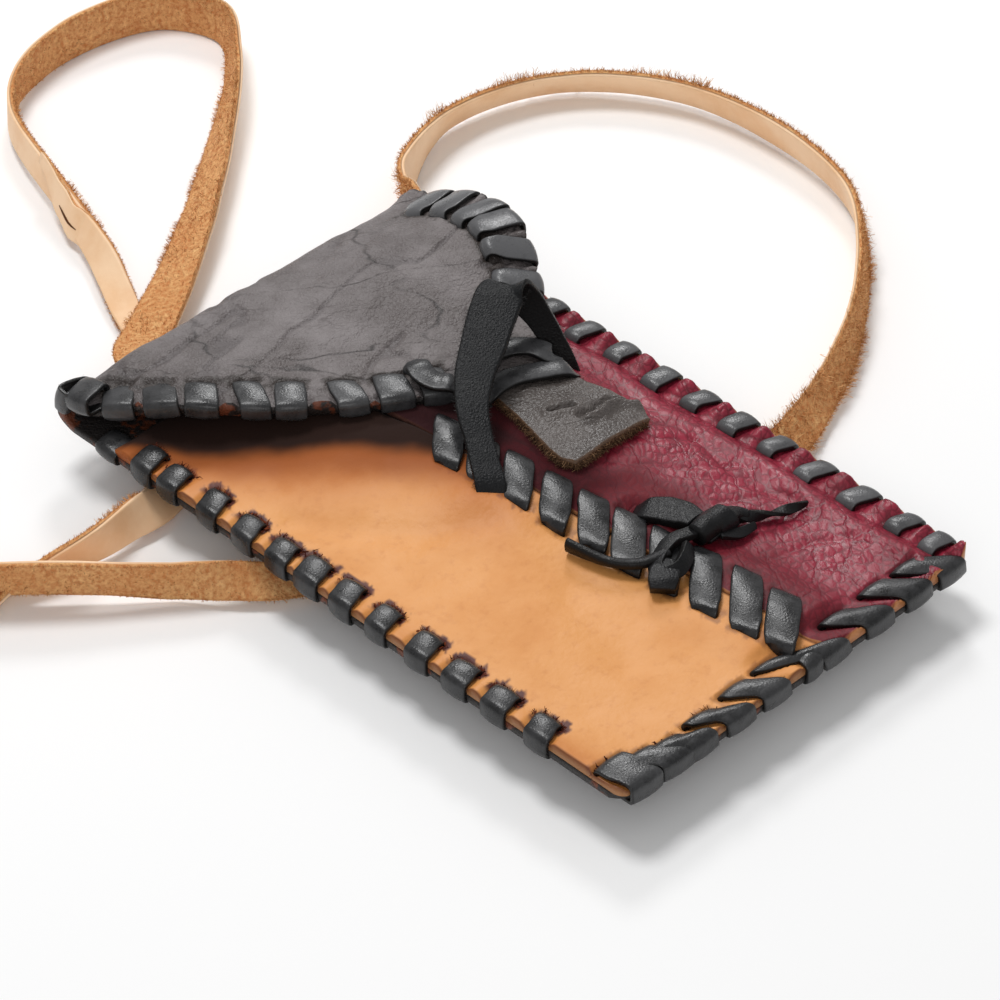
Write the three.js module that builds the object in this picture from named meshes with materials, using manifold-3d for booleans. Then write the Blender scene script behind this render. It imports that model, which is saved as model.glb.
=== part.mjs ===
// Leather phone bag, lying on its back with its flap closed.
// Millimetres. +X to the burgundy side, +Y to the folded top, +Z up from the table.
import * as THREE from 'three';
import { mergeVertices } from 'three/addons/utils/BufferGeometryUtils.js';
import Module from 'manifold-3d';

const wasm = await Module();
wasm.setup();

// Pouch
const POUCH_WIDTH = 100;
const POUCH_LENGTH = 165; // bottom edge to the outside of the fold
const LEATHER = 1.5; // thickness of the panels, flap and loop
const CLEARANCE = 0.3; // gap between pieces that touch
const BULGE = 4.6; // how far the empty pocket stands open
const SIDE_MARGIN = 9.5; // flat, laced band along the sides
const BOTTOM_MARGIN = 12; // flat, laced band along the bottom
const LEFT_RISE = 34; // width over which the tan panel rises
const RIGHT_RISE = 11; // width over which the burgundy panel rises
const BOTTOM_RISE = 95; // length over which both rise from the bottom
const MOUTH_SETBACK = 19; // fold to the top edge of the front panels

// Lengthwise seam between the two front panels
const SEAM_BOTTOM_X = 8;
const SEAM_LEAN = 0.125; // sideways run for each millimetre of length
const SEAM_GAP = 0.6;
const SEAM_RIDGE = 1.7; // room for the seam's lace behind the front
const SEAM_RIDGE_SIDE = 3; // flat part beside its slots
const SEAM_RIDGE_FALL = 9;
const SEAM_RIDGE_FROM = 7; // from the bottom edge
const SEAM_RIDGE_RISE = 3.2;

// Fold and flap
const FOLD_RADIUS = 6.3; // outside of the leather
const FLAP_TIP_LEFT = new THREE.Vector2(7, 22);
const FLAP_TIP_RIGHT = new THREE.Vector2(40, 30);
const FLAP_LEFT_BOW = 4; // outward curve of the long edge
const FLAP_RIGHT_BOW = 5;
const FLAP_SAG = 1.2; // the flap comes down towards its tip
const FLAP_SAG_LENGTH = 40;
const FLAP_RAISE = 5; // the right side of the flap stands up between fold and tip
const FLAP_RAISE_X = 0; // where it starts to rise
const FLAP_RAISE_Y = 52; // where it is highest
const FLAP_RAISE_FALL = 24; // from there to the tip

// Tongue of the flap, which goes through the loop
const TONGUE_WIDTH = 16;
const TONGUE_END_WIDTH = 25;
const TONGUE_CENTRE_X = 20;
const TONGUE_SHOULDER_Y = 16;
const TONGUE_END_Y = -11;
const SLIT_LENGTH = 6;
const SLIT_WIDTH = 1.6;
const SLIT_FROM_END = 13;

// Lace and its stitches
const LACE_THICKNESS = 1;
const SLOT_CLEARANCE = 0.2;
const LACE_CORNER = 0.7; // chamfer where the lace turns over an edge
const EDGE_LACE_WIDTH = 6;
const EDGE_PITCH = 10.4;
const EDGE_INSET = 5; // slot to edge
const EDGE_SLANT = -1.2;
const LEFT_FIRST = 25; // bottom corner to the first stitch of the left side
const RIGHT_FIRST = 11;
const BOTTOM_LACE_WIDTH = 8.2;
const BOTTOM_PITCH = 10;
const BOTTOM_INSET = 6;
const BOTTOM_SLANT = 9;
const BOTTOM_FIRST = 5.7;
const SEAM_LACE_WIDTH = 7.5;
const SEAM_PITCH = 9.8;
const SEAM_REACH = 5.3; // slot to seam
const SEAM_SLANT = 8;
const SEAM_FIRST = 20;
const FLAP_LACE_WIDTH = 6.5;
const FLAP_PITCH = 9.6;
const FLAP_INSET = 6;
const FLAP_SLANT = 2;

// Closing loop, a strip over the tongue
const LOOP_WIDTH = 9;
const LOOP_FOOT_WIDTH = 5.5;
const LOOP_FOOT_DEPTH = 1; // how far its feet pass through the panels

// Strap
const STRAP_WIDTH = 11;
const STRAP_THICKNESS = 1.8;
const LIFT = 8.5; // the pouch lies on its own strap, which leans under it
const STRAP_STEPS = 80;

// Worked out from the sizes above
const LACE_SEAT = CLEARANCE + LACE_THICKNESS / 2; // leather to the middle of the lace
const LACE_REACH = CLEARANCE + LACE_THICKNESS; // leather to the outside of the lace
const SIDE_X = POUCH_WIDTH / 2;
const FOLD_Y = (POUCH_LENGTH + LACE_REACH) / 2;
const BOTTOM_Y = FOLD_Y - POUCH_LENGTH;
const FOLD_CENTRE_Y = FOLD_Y - FOLD_RADIUS;
const MOUTH_Y = FOLD_Y - MOUTH_SETBACK;
const BACK_UNDER = LIFT + LACE_REACH;
const BACK_TOP = BACK_UNDER + LEATHER;
const FLAP_TOP = BACK_UNDER + 2 * FOLD_RADIUS;
const FOLD_CENTRE_Z = FLAP_TOP - FOLD_RADIUS;

// Heights of the pouch
function smooth(share) {
  const t = THREE.MathUtils.clamp(share, 0, 1);
  return t * t * (3 - 2 * t);
}

function seamX(y) {
  return SEAM_BOTTOM_X - SEAM_LEAN * (y - BOTTOM_Y);
}

// The seam's lace lies between front and back, so it keeps them apart near the bottom
function seamRidge(x, y) {
  const beside = (Math.abs(x - seamX(y)) - SEAM_REACH - SEAM_RIDGE_SIDE) / SEAM_RIDGE_FALL;
  const bottom = smooth((y - BOTTOM_Y - SEAM_RIDGE_FROM) / SEAM_RIDGE_RISE);
  return SEAM_RIDGE * bottom * (1 - smooth(beside));
}

function bulge(x, y) {
  const left = smooth((x + SIDE_X - SIDE_MARGIN) / LEFT_RISE);
  const right = smooth((SIDE_X - x - SIDE_MARGIN) / RIGHT_RISE);
  const bottom = smooth((y - BOTTOM_Y - BOTTOM_MARGIN) / BOTTOM_RISE);
  return Math.hypot(BULGE * left * right * bottom, seamRidge(x, y));
}

function frontUnder(x, y) {
  return BACK_TOP + CLEARANCE + bulge(x, y);
}

function frontTop(x, y) {
  return frontUnder(x, y) + LEATHER;
}

function flapTop(x, y) {
  const sag = FLAP_SAG * smooth((FOLD_CENTRE_Y - y) / FLAP_SAG_LENGTH);
  const across = smooth((x - FLAP_RAISE_X) / (SIDE_X - FLAP_RAISE_X));
  const rise = smooth((FOLD_CENTRE_Y - y) / (FOLD_CENTRE_Y - FLAP_RAISE_Y));
  const fall = smooth((FLAP_RAISE_Y - y) / FLAP_RAISE_FALL);
  return FLAP_TOP - sag + FLAP_RAISE * across * rise * (1 - fall);
}

// Closed solids from rows of points
function geometryOf(points, triangles) {
  const geometry = new THREE.BufferGeometry();
  const numbers = points.flatMap((point) => point.toArray());
  geometry.setAttribute('position', new THREE.Float32BufferAttribute(numbers, 3));
  geometry.setIndex(triangles);
  return geometry;
}

// A sheet of leather between two grids of points; the upper grid faces up where u runs to +X and v to +Y
function sheetGeometry(columns, rows, upperAt, lowerAt) {
  const points = [];
  const triangles = [];
  for (const pointAt of [upperAt, lowerAt]) {
    for (let j = 0; j <= rows; j += 1) {
      for (let i = 0; i <= columns; i += 1) points.push(pointAt(i / columns, j / rows));
    }
  }
  const layer = (columns + 1) * (rows + 1);
  const upper = (i, j) => j * (columns + 1) + i;
  const lower = (i, j) => layer + upper(i, j);
  const quad = (a, b, c, d) => triangles.push(a, b, c, a, c, d);
  for (let j = 0; j < rows; j += 1) {
    for (let i = 0; i < columns; i += 1) {
      quad(upper(i, j), upper(i + 1, j), upper(i + 1, j + 1), upper(i, j + 1));
      quad(lower(i, j), lower(i, j + 1), lower(i + 1, j + 1), lower(i + 1, j));
    }
  }
  for (let i = 0; i < columns; i += 1) {
    quad(upper(i, 0), lower(i, 0), lower(i + 1, 0), upper(i + 1, 0));
    quad(upper(i + 1, rows), lower(i + 1, rows), lower(i, rows), upper(i, rows));
  }
  for (let j = 0; j < rows; j += 1) {
    quad(upper(0, j + 1), lower(0, j + 1), lower(0, j), upper(0, j));
    quad(upper(columns, j), lower(columns, j), lower(columns, j + 1), upper(columns, j + 1));
  }
  return geometryOf(points, triangles);
}

// A strip through stations of { centre, across, out, halfWidth, halfThickness }, closed at both ends
function stripGeometry(stations, spare = 0) {
  const points = [];
  const triangles = [];
  const corners = [[-1, -1], [1, -1], [1, 1], [-1, 1]];
  for (const { centre, across, out, halfWidth, halfThickness } of stations) {
    for (const [side, face] of corners) {
      points.push(centre.clone()
        .addScaledVector(across, side * (halfWidth + spare))
        .addScaledVector(out, face * (halfThickness + spare)));
    }
  }
  const quad = (a, b, c, d) => triangles.push(a, b, c, a, c, d);
  const last = (stations.length - 1) * corners.length;
  for (let ring = 0; ring < last; ring += corners.length) {
    for (let k = 0; k < corners.length; k += 1) {
      const next = (k + 1) % corners.length;
      quad(ring + k, ring + next, ring + corners.length + next, ring + corners.length + k);
    }
  }
  quad(3, 2, 1, 0);
  quad(last, last + 1, last + 2, last + 3);
  return geometryOf(points, triangles);
}

// Solid booleans
function solidOf(geometry) {
  const merged = mergeVertices(geometry);
  const mesh = new wasm.Mesh({
    numProp: 3,
    vertProperties: new Float32Array(merged.attributes.position.array),
    triVerts: new Uint32Array(merged.index.array),
  });
  return new wasm.Manifold(mesh);
}

function cutGeometry(geometry, cutters) {
  let solid = solidOf(geometry);
  for (const cutter of cutters) solid = solid.subtract(solidOf(cutter));
  const mesh = solid.getMesh();
  const result = new THREE.BufferGeometry();
  result.setAttribute('position', new THREE.BufferAttribute(new Float32Array(mesh.vertProperties), 3));
  result.setIndex(new THREE.BufferAttribute(new Uint32Array(mesh.triVerts), 1));
  return result;
}

// Lacing: each stitch has a frame on the leather's edge, and the lace turns round it through slots
function turnPoints(frame, lacing) {
  const { inset, slant } = lacing;
  const top = LACE_SEAT;
  const under = -frame.thickness - LACE_SEAT;
  return [
    { inward: inset, up: under, along: 0 },
    { inward: inset, up: top, along: 0 },
    { inward: LACE_CORNER - LACE_SEAT, up: top, along: slant },
    { inward: -LACE_SEAT, up: top - LACE_CORNER, along: slant },
    { inward: -LACE_SEAT, up: under + LACE_CORNER, along: slant },
    { inward: LACE_CORNER - LACE_SEAT, up: under, along: slant },
  ].map((point) => ({ ...point, frame }));
}

// The seam lace goes up through one panel and down through the other
function crossingPoints(frame, lacing) {
  const { inset, slant } = lacing;
  const top = LACE_SEAT;
  const under = -frame.thickness - LACE_SEAT;
  return [
    { inward: inset, up: under, along: -slant / 2 },
    { inward: inset, up: top, along: -slant / 2 },
    { inward: -inset, up: top, along: slant / 2 },
    { inward: -inset, up: under, along: slant / 2 },
  ].map((point) => ({ ...point, frame }));
}

function laceStations(frames, lacing, pointsOf) {
  const path = frames.flatMap((frame) => pointsOf(frame, lacing));
  const flat = path.map(({ inward, up }) => new THREE.Vector2(inward, up));
  const side = (from, to) => {
    const run = to.clone().sub(from).normalize();
    return new THREE.Vector2(run.y, -run.x);
  };
  return path.map(({ frame, inward, up, along }, k) => {
    const before = side(flat[Math.max(k - 1, 0)], flat[Math.max(k, 1)]);
    const after = side(flat[Math.min(k, path.length - 2)], flat[Math.min(k + 1, path.length - 1)]);
    const mitre = before.clone().add(after).normalize();
    mitre.divideScalar(mitre.dot(after));
    const out = frame.inward.clone().multiplyScalar(mitre.x).addScaledVector(frame.normal, mitre.y);
    const centre = frame.origin.clone()
      .addScaledVector(frame.inward, inward)
      .addScaledVector(frame.normal, up)
      .addScaledVector(frame.tangent, along);
    const across = new THREE.Vector3().crossVectors(frame.inward, frame.normal);
    return { centre, across, out, halfWidth: lacing.width / 2, halfThickness: LACE_THICKNESS / 2 };
  });
}

const UP = new THREE.Vector3(0, 0, 1);
const EDGE_THICKNESS = 2 * LEATHER + CLEARANCE;

// The sides and the bottom; above the mouth only the back is left to lace
function straightFrames(count, placeOf, inward) {
  const tangent = new THREE.Vector3().crossVectors(UP, inward);
  return Array.from({ length: count }, (_, k) => {
    const [x, y] = placeOf(k);
    const closed = y < MOUTH_Y;
    const origin = new THREE.Vector3(x, y, closed ? frontTop(x, y) : BACK_TOP);
    const thickness = closed ? EDGE_THICKNESS : LEATHER;
    return { origin, tangent, inward, normal: UP, thickness };
  });
}

function sideFrames(x, first) {
  const inward = new THREE.Vector3(-Math.sign(x), 0, 0);
  const count = Math.floor((FOLD_CENTRE_Y - EDGE_LACE_WIDTH / 2 - BOTTOM_Y - first) / EDGE_PITCH) + 1;
  return straightFrames(count, (k) => [x, BOTTOM_Y + first + k * EDGE_PITCH], inward);
}

function bottomFrames() {
  const inward = new THREE.Vector3(0, 1, 0);
  const room = POUCH_WIDTH - BOTTOM_FIRST - BOTTOM_SLANT - BOTTOM_LACE_WIDTH / 2;
  const count = Math.floor(room / BOTTOM_PITCH) + 1;
  return straightFrames(count, (k) => [BOTTOM_FIRST - SIDE_X + k * BOTTOM_PITCH, BOTTOM_Y], inward);
}

function seamFrames() {
  const along = new THREE.Vector3(-SEAM_LEAN, 1, 0).normalize();
  const inward = new THREE.Vector3().crossVectors(along, UP).negate();
  const room = TONGUE_SHOULDER_Y - BOTTOM_Y - SEAM_FIRST;
  const count = Math.floor(room / SEAM_PITCH) + 1;
  return Array.from({ length: count }, (_, k) => {
    const y = BOTTOM_Y + SEAM_FIRST + k * SEAM_PITCH;
    const origin = new THREE.Vector3(seamX(y), y, frontTop(seamX(y), y));
    const rise = frontTop(seamX(y + 1), y + 1) - frontTop(seamX(y), y);
    const tangent = along.clone().setZ(rise).normalize();
    const normal = new THREE.Vector3().crossVectors(tangent, inward);
    return { origin, tangent, inward, normal, thickness: LEATHER };
  });
}

// Outline of the flap, seen from above
function bowedEdge(start, end, bow) {
  const across = end.clone().sub(start).normalize();
  const outward = new THREE.Vector2(-across.y, across.x);
  const middle = start.clone().lerp(end, 0.5).addScaledVector(outward, 2 * bow);
  return new THREE.QuadraticBezierCurve(start, middle, end);
}

const flapLeft = bowedEdge(new THREE.Vector2(-SIDE_X, FOLD_CENTRE_Y), FLAP_TIP_LEFT, -FLAP_LEFT_BOW);
const flapRight = bowedEdge(new THREE.Vector2(SIDE_X, FOLD_CENTRE_Y), FLAP_TIP_RIGHT, FLAP_RIGHT_BOW);

// Stitches along the flap, from the fold to its tip
function flapFrames(edge, side) {
  const length = edge.getLength();
  const count = Math.floor((length - FLAP_LACE_WIDTH - FLAP_SLANT) / FLAP_PITCH) + 1;
  return Array.from({ length: count }, (_, k) => {
    const share = (FLAP_LACE_WIDTH / 2 + k * FLAP_PITCH) / length;
    const place = edge.getPointAt(share);
    const run = edge.getTangentAt(share);
    const height = flapTop(place.x, place.y);
    const slopeTowards = (dx, dy) => (flapTop(place.x + dx, place.y + dy) - height) / Math.hypot(dx, dy);
    const aside = new THREE.Vector2(run.y, -run.x).multiplyScalar(side * FLAP_INSET);
    const tangent = new THREE.Vector3(run.x, run.y, slopeTowards(run.x, run.y)).normalize();
    const inward = new THREE.Vector3(aside.x, aside.y, slopeTowards(aside.x, aside.y) * FLAP_INSET).normalize();
    const normal = new THREE.Vector3().crossVectors(inward, tangent).multiplyScalar(side).normalize();
    const origin = new THREE.Vector3(place.x, place.y, height);
    return { origin, tangent, inward, normal, thickness: LEATHER };
  });
}

const edgeLacing = { inset: EDGE_INSET, slant: EDGE_SLANT, width: EDGE_LACE_WIDTH };
const bottomLacing = { inset: BOTTOM_INSET, slant: -BOTTOM_SLANT, width: BOTTOM_LACE_WIDTH };
const seamLacing = { inset: SEAM_REACH, slant: SEAM_SLANT, width: SEAM_LACE_WIDTH };
const flapLacing = { inset: FLAP_INSET, slant: FLAP_SLANT, width: FLAP_LACE_WIDTH };

const lace = {
  left_edge_lace: laceStations(sideFrames(-SIDE_X, LEFT_FIRST), edgeLacing, turnPoints),
  right_edge_lace: laceStations(sideFrames(SIDE_X, RIGHT_FIRST), edgeLacing, turnPoints),
  bottom_edge_lace: laceStations(bottomFrames(), bottomLacing, turnPoints),
  seam_lace: laceStations(seamFrames(), seamLacing, crossingPoints),
  flap_left_lace: laceStations(flapFrames(flapLeft, -1), flapLacing, turnPoints),
  flap_right_lace: laceStations(flapFrames(flapRight, 1), flapLacing, turnPoints),
};

function slotCutters(...names) {
  return names.map((name) => stripGeometry(lace[name], SLOT_CLEARANCE));
}

// Strips that follow a hand-chosen route
function routeStations(points, steps, stationAt) {
  const curve = new THREE.CatmullRomCurve3(points);
  return Array.from({ length: steps + 1 }, (_, k) => {
    const share = k / steps;
    const u = curve.getUtoTmapping(share) * (points.length - 1);
    const low = Math.min(Math.floor(u), points.length - 2);
    return stationAt(curve.getPointAt(share), curve.getTangentAt(share), low, u - low);
  });
}

// Closing loop: from a slot in the tan panel, up over the tongue and down into the burgundy panel
const LOOP_LEFT_FOOT = [-10.3, -4.7];
const LOOP_RIGHT_FOOT = [33, 13];
const LOOP_ARCH = [ // place, and height over the flap
  [-10.3, -4.7, -2.5],
  [-7.6, 0.6, 0.5],
  [-0.4, 7.2, 4],
  [9.6, 15.4, 7.3],
  [19.5, 21.5, 9.6],
  [25, 25.5, 10.3],
  [29.5, 24.5, 9],
  [32, 19.5, 4.5],
  [33, 13, -2],
];
const loopFoot = ([x, y]) => new THREE.Vector3(x, y, frontUnder(x, y) - LOOP_FOOT_DEPTH);
const loopRoute = [
  loopFoot(LOOP_LEFT_FOOT),
  ...LOOP_ARCH.map(([x, y, rise]) => new THREE.Vector3(x, y, FLAP_TOP + rise)),
  loopFoot(LOOP_RIGHT_FOOT),
];
const LOOP_ACROSS_START = new THREE.Vector3(0.75, -0.66, 0);
const LOOP_ACROSS_END = new THREE.Vector3(0.35, -0.94, 0);
const LOOP_STEPS = 26;

function loopStations() {
  return routeStations(loopRoute, LOOP_STEPS, (centre, tangent, low, part) => {
    const share = smooth((low + part) / (loopRoute.length - 1));
    const across = LOOP_ACROSS_START.clone().lerp(LOOP_ACROSS_END, share);
    across.addScaledVector(tangent, -across.dot(tangent)).normalize();
    const out = new THREE.Vector3().crossVectors(tangent, across);
    const width = THREE.MathUtils.lerp(LOOP_FOOT_WIDTH, LOOP_WIDTH, smooth(2 * Math.min(share, 1 - share)));
    return { centre, across, out, halfWidth: width / 2, halfThickness: LEATHER / 2 };
  });
}

// Knotted ends of the seam lace: place on the front, height over it, half width and half thickness
const RIGHT_TIE = [
  [12.5, -29.5, 0.2, 3, 0.5],
  [14.5, -35, 0.4, 3.8, 0.6],
  [16.5, -39.5, 1, 2.9, 1],
  [18.5, -43, 0.4, 2.7, 2.1],
  [21.5, -46.5, 0.4, 2.5, 2.1],
  [24, -48.5, 0.6, 1.4, 1.1],
  [29, -51, 0.4, 1.2, 0.8],
  [34, -52.5, 0.6, 1, 0.7],
];
const LEFT_TIE = [
  [12, -42.5, 1, 1.5, 0.8],
  [8, -45.5, 1.8, 1.6, 0.9],
  [4, -48, 2.2, 2, 1.4],
  [-1, -46.5, 2.2, 3, 1.9],
  [-4.5, -42, 2, 2.4, 1.2],
  [-7.5, -36, 1.6, 1.7, 0.9],
  [-10.5, -31, 0.5, 1.5, 0.8],
  [-13, -27, 0.3, 1.2, 0.7],
];
const TIE_STEPS = 20;

function tieStations(route) {
  const points = route.map(([x, y, height, , half]) => (
    new THREE.Vector3(x, y, frontTop(x, y) + CLEARANCE + height + half)));
  return routeStations(points, TIE_STEPS, (centre, tangent, low, part) => {
    const across = new THREE.Vector3().crossVectors(UP, tangent).normalize();
    const out = new THREE.Vector3().crossVectors(tangent, across);
    const halfWidth = THREE.MathUtils.lerp(route[low][3], route[low + 1][3], part);
    const halfThickness = THREE.MathUtils.lerp(route[low][4], route[low + 1][4], part);
    return { centre, across, out, halfWidth, halfThickness };
  });
}

// Strap: place, height added over the table, and turn from standing on edge (0) to lying flat (90)
const STRAP_END_HEIGHT = BACK_TOP + CLEARANCE;
const STRAP_ROUTE = [
  [42, 75, STRAP_END_HEIGHT, -90],
  [44, 84.5, STRAP_END_HEIGHT, -90],
  [52, 92, 4, -70],
  [66, 99, 0, -36],
  [91, 109, 0, -33],
  [118, 101.5, 0, -33],
  [135, 79.5, 0, -33],
  [138.5, 50, 0, -33],
  [132, 24, 0, -33],
  [117, 6.5, 0, -35],
  [96, -9.5, 0, -38],
  [76, -19.5, 0, -45],
  [58, -24.5, 0, -56],
  [44, -22, 0, -62],
  [18, -8, 0, -90],
  [-18, 6, 0, -90],
  [-47, 17.5, 0, -56],
  [-56, 24, 0, -52],
  [-63, 30.5, 0, -6],
  [-76, 42, 1.6, 6],
  [-86, 51, 2.2, 8],
  [-96, 59, 1.6, 4],
  [-112, 65, 0, 0],
  [-123, 57, 0, 0],
  [-117, 47, 0, -30],
  [-103, 48, 0, -88],
  [-84, 50, 0, -90],
  [-68, 50.7, 0, -6],
  [-57, 51.5, 0, 50],
  [-48, 53, 0, 60],
  [-27, 65, 0, 90],
  [-13, 97, 0, 91],
  [-8, 110, 0, 130],
  [-1.4, 125, 0, 165],
  [5.6, 145, 0, 172],
  [18, 179, 0, 180],
  [30, 190, 0, 182],
  [52, 195, 0, 180],
  [73, 189, 0, 182],
  [79, 175, 0, 187],
  [69, 160, 0, 196],
  [44, 137.5, 0, 220],
  [13, 113.5, 0.4, 238],
  [-10, 98.5, 2.9, 262],
  [-21, 90, 8, 270],
  [-26, 83, STRAP_END_HEIGHT, 270],
  [-27, 75, STRAP_END_HEIGHT, 270],
];

function strapStations() {
  const turnOf = (k) => THREE.MathUtils.degToRad(STRAP_ROUTE[k][3]);
  const points = STRAP_ROUTE.map(([x, y, height], k) => {
    const standing = STRAP_WIDTH * Math.abs(Math.cos(turnOf(k)));
    const lying = STRAP_THICKNESS * Math.abs(Math.sin(turnOf(k)));
    return new THREE.Vector3(x, y, height + (standing + lying) / 2);
  });
  return routeStations(points, STRAP_STEPS, (centre, tangent, low, part) => {
    const turn = THREE.MathUtils.lerp(turnOf(low), turnOf(low + 1), part);
    const along = tangent.setZ(0).normalize();
    const left = new THREE.Vector3().crossVectors(UP, along);
    const across = left.multiplyScalar(Math.sin(turn)).addScaledVector(UP, Math.cos(turn));
    const out = new THREE.Vector3().crossVectors(along, across);
    const halfThickness = STRAP_THICKNESS / 2;
    const floor = STRAP_WIDTH / 2 * Math.abs(across.z) + halfThickness * Math.abs(out.z);
    centre.z = Math.max(centre.z, floor);
    return { centre, across, out, halfWidth: STRAP_WIDTH / 2, halfThickness };
  });
}

const loopStrip = loopStations();
const strapStrip = strapStations();

// Front panels
const PANEL_COLUMNS = 9;
const PANEL_ROWS = 22; // the first is the flat margin at the bottom

function frontPanel(leftX, rightX, cutters) {
  const placed = (height) => (u, v) => {
    const share = (v * PANEL_ROWS - 1) / (PANEL_ROWS - 1);
    const y = v === 0 ? BOTTOM_Y : THREE.MathUtils.lerp(BOTTOM_Y + SEAM_RIDGE_FROM, MOUTH_Y, share);
    const x = THREE.MathUtils.lerp(leftX(y), rightX(y), u);
    return new THREE.Vector3(x, y, height(x, y));
  };
  const sheet = sheetGeometry(PANEL_COLUMNS, PANEL_ROWS, placed(frontTop), placed(frontUnder));
  return cutGeometry(sheet, cutters);
}

function tanPanel() {
  const cutters = slotCutters('left_edge_lace', 'bottom_edge_lace', 'seam_lace');
  cutters.push(stripGeometry(loopStrip, SLOT_CLEARANCE));
  return frontPanel(() => -SIDE_X, (y) => seamX(y) - SEAM_GAP / 2, cutters);
}

function burgundyPanel() {
  const cutters = slotCutters('right_edge_lace', 'bottom_edge_lace', 'seam_lace');
  cutters.push(stripGeometry(loopStrip, SLOT_CLEARANCE));
  return frontPanel((y) => seamX(y) + SEAM_GAP / 2, () => SIDE_X, cutters);
}

// Back, fold, flap and tongue: one piece of leather
const BACK_ROWS = 8;
const FOLD_ROWS = 8;
const FLAP_ROWS = 8;
const TONGUE_ROWS = 7;
const SHEET_COLUMNS = 8;

function tongueTop(x, y) {
  const lowered = frontTop(x, y) + CLEARANCE + LEATHER;
  const share = smooth((FLAP_TIP_LEFT.y - y) / (FLAP_TIP_LEFT.y - TONGUE_SHOULDER_Y) / 2);
  return THREE.MathUtils.lerp(flapTop(x, y), lowered, share);
}

function tongueEdge(side, share) {
  const tip = side < 0 ? FLAP_TIP_LEFT : FLAP_TIP_RIGHT;
  const shoulder = new THREE.Vector2(TONGUE_CENTRE_X + side * TONGUE_WIDTH / 2, TONGUE_SHOULDER_Y);
  const end = new THREE.Vector2(TONGUE_CENTRE_X + side * TONGUE_END_WIDTH / 2, TONGUE_END_Y);
  const bend = 2 / TONGUE_ROWS;
  if (share <= bend) return tip.clone().lerp(shoulder, share / bend);
  return shoulder.clone().lerp(end, (share - bend) / (1 - bend));
}

// Point on the outside of the sheet and the way to its inside, row by row from the bottom of the back
function sheetPoint(u, row) {
  const x = THREE.MathUtils.lerp(-SIDE_X, SIDE_X, u);
  if (row <= BACK_ROWS) {
    const y = THREE.MathUtils.lerp(BOTTOM_Y, FOLD_CENTRE_Y, row / BACK_ROWS);
    return { outside: new THREE.Vector3(x, y, BACK_UNDER), inside: UP };
  }
  if (row < BACK_ROWS + FOLD_ROWS) {
    const angle = ((row - BACK_ROWS) / FOLD_ROWS - 0.5) * Math.PI;
    const inside = new THREE.Vector3(0, -Math.cos(angle), -Math.sin(angle));
    const centre = new THREE.Vector3(x, FOLD_CENTRE_Y, FOLD_CENTRE_Z);
    return { outside: centre.addScaledVector(inside, -FOLD_RADIUS), inside };
  }
  const down = UP.clone().negate();
  const flapRow = row - BACK_ROWS - FOLD_ROWS;
  if (flapRow <= FLAP_ROWS) {
    const share = flapRow / FLAP_ROWS;
    const place = flapLeft.getPoint(share).lerp(flapRight.getPoint(share), u);
    return { outside: new THREE.Vector3(place.x, place.y, flapTop(place.x, place.y)), inside: down };
  }
  const share = (flapRow - FLAP_ROWS) / TONGUE_ROWS;
  const place = tongueEdge(-1, share).lerp(tongueEdge(1, share), u);
  return { outside: new THREE.Vector3(place.x, place.y, tongueTop(place.x, place.y)), inside: down };
}

function tongueSlit() {
  const y = TONGUE_END_Y + SLIT_FROM_END;
  const slit = new THREE.BoxGeometry(SLIT_LENGTH, SLIT_WIDTH, 4 * LEATHER);
  slit.deleteAttribute('normal');
  slit.deleteAttribute('uv');
  return slit.translate(TONGUE_CENTRE_X, y, tongueTop(TONGUE_CENTRE_X, y) - LEATHER / 2);
}

function backAndFlap() {
  const rows = BACK_ROWS + FOLD_ROWS + FLAP_ROWS + TONGUE_ROWS;
  const outer = (u, v) => sheetPoint(u, Math.round(v * rows)).outside;
  const inner = (u, v) => {
    const { outside, inside } = sheetPoint(u, Math.round(v * rows));
    return outside.clone().addScaledVector(inside, LEATHER);
  };
  const cutters = slotCutters(...Object.keys(lace).filter((name) => name !== 'seam_lace'));
  cutters.push(stripGeometry(strapStrip, SLOT_CLEARANCE), tongueSlit());
  return cutGeometry(sheetGeometry(SHEET_COLUMNS, rows, inner, outer), cutters);
}

// Materials
const finishes = {
  charcoal: { color: 0x5f585b, roughness: 0.55 },
  tan: { color: 0xd58c48, roughness: 0.45 },
  burgundy: { color: 0x7d1a30, roughness: 0.4 },
  lace: { color: 0x37383b, roughness: 0.5 },
  loop: { color: 0x26292c, roughness: 0.7 },
  strap: { color: 0xd2944f, roughness: 0.8 },
};

const bag = new THREE.Group();
bag.name = 'leather_phone_bag';

function addPiece(name, geometry, finish) {
  const material = new THREE.MeshStandardMaterial({ ...finishes[finish], metalness: 0 });
  const piece = new THREE.Mesh(geometry, material);
  piece.name = name;
  bag.add(piece);
}

addPiece('back_and_flap', backAndFlap(), 'charcoal');
addPiece('tan_front_panel', tanPanel(), 'tan');
addPiece('burgundy_front_panel', burgundyPanel(), 'burgundy');
for (const [name, stations] of Object.entries(lace)) addPiece(name, stripGeometry(stations), 'lace');
addPiece('closing_loop', stripGeometry(loopStrip), 'loop');
addPiece('right_lace_tie', stripGeometry(tieStations(RIGHT_TIE)), 'lace');
addPiece('left_lace_tie', stripGeometry(tieStations(LEFT_TIE)), 'lace');
addPiece('strap', stripGeometry(strapStrip), 'strap');

export default bag;
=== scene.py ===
"""Looks of the leather phone bag: leather, lace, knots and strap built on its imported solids."""

import itertools
import math
from types import SimpleNamespace

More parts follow.
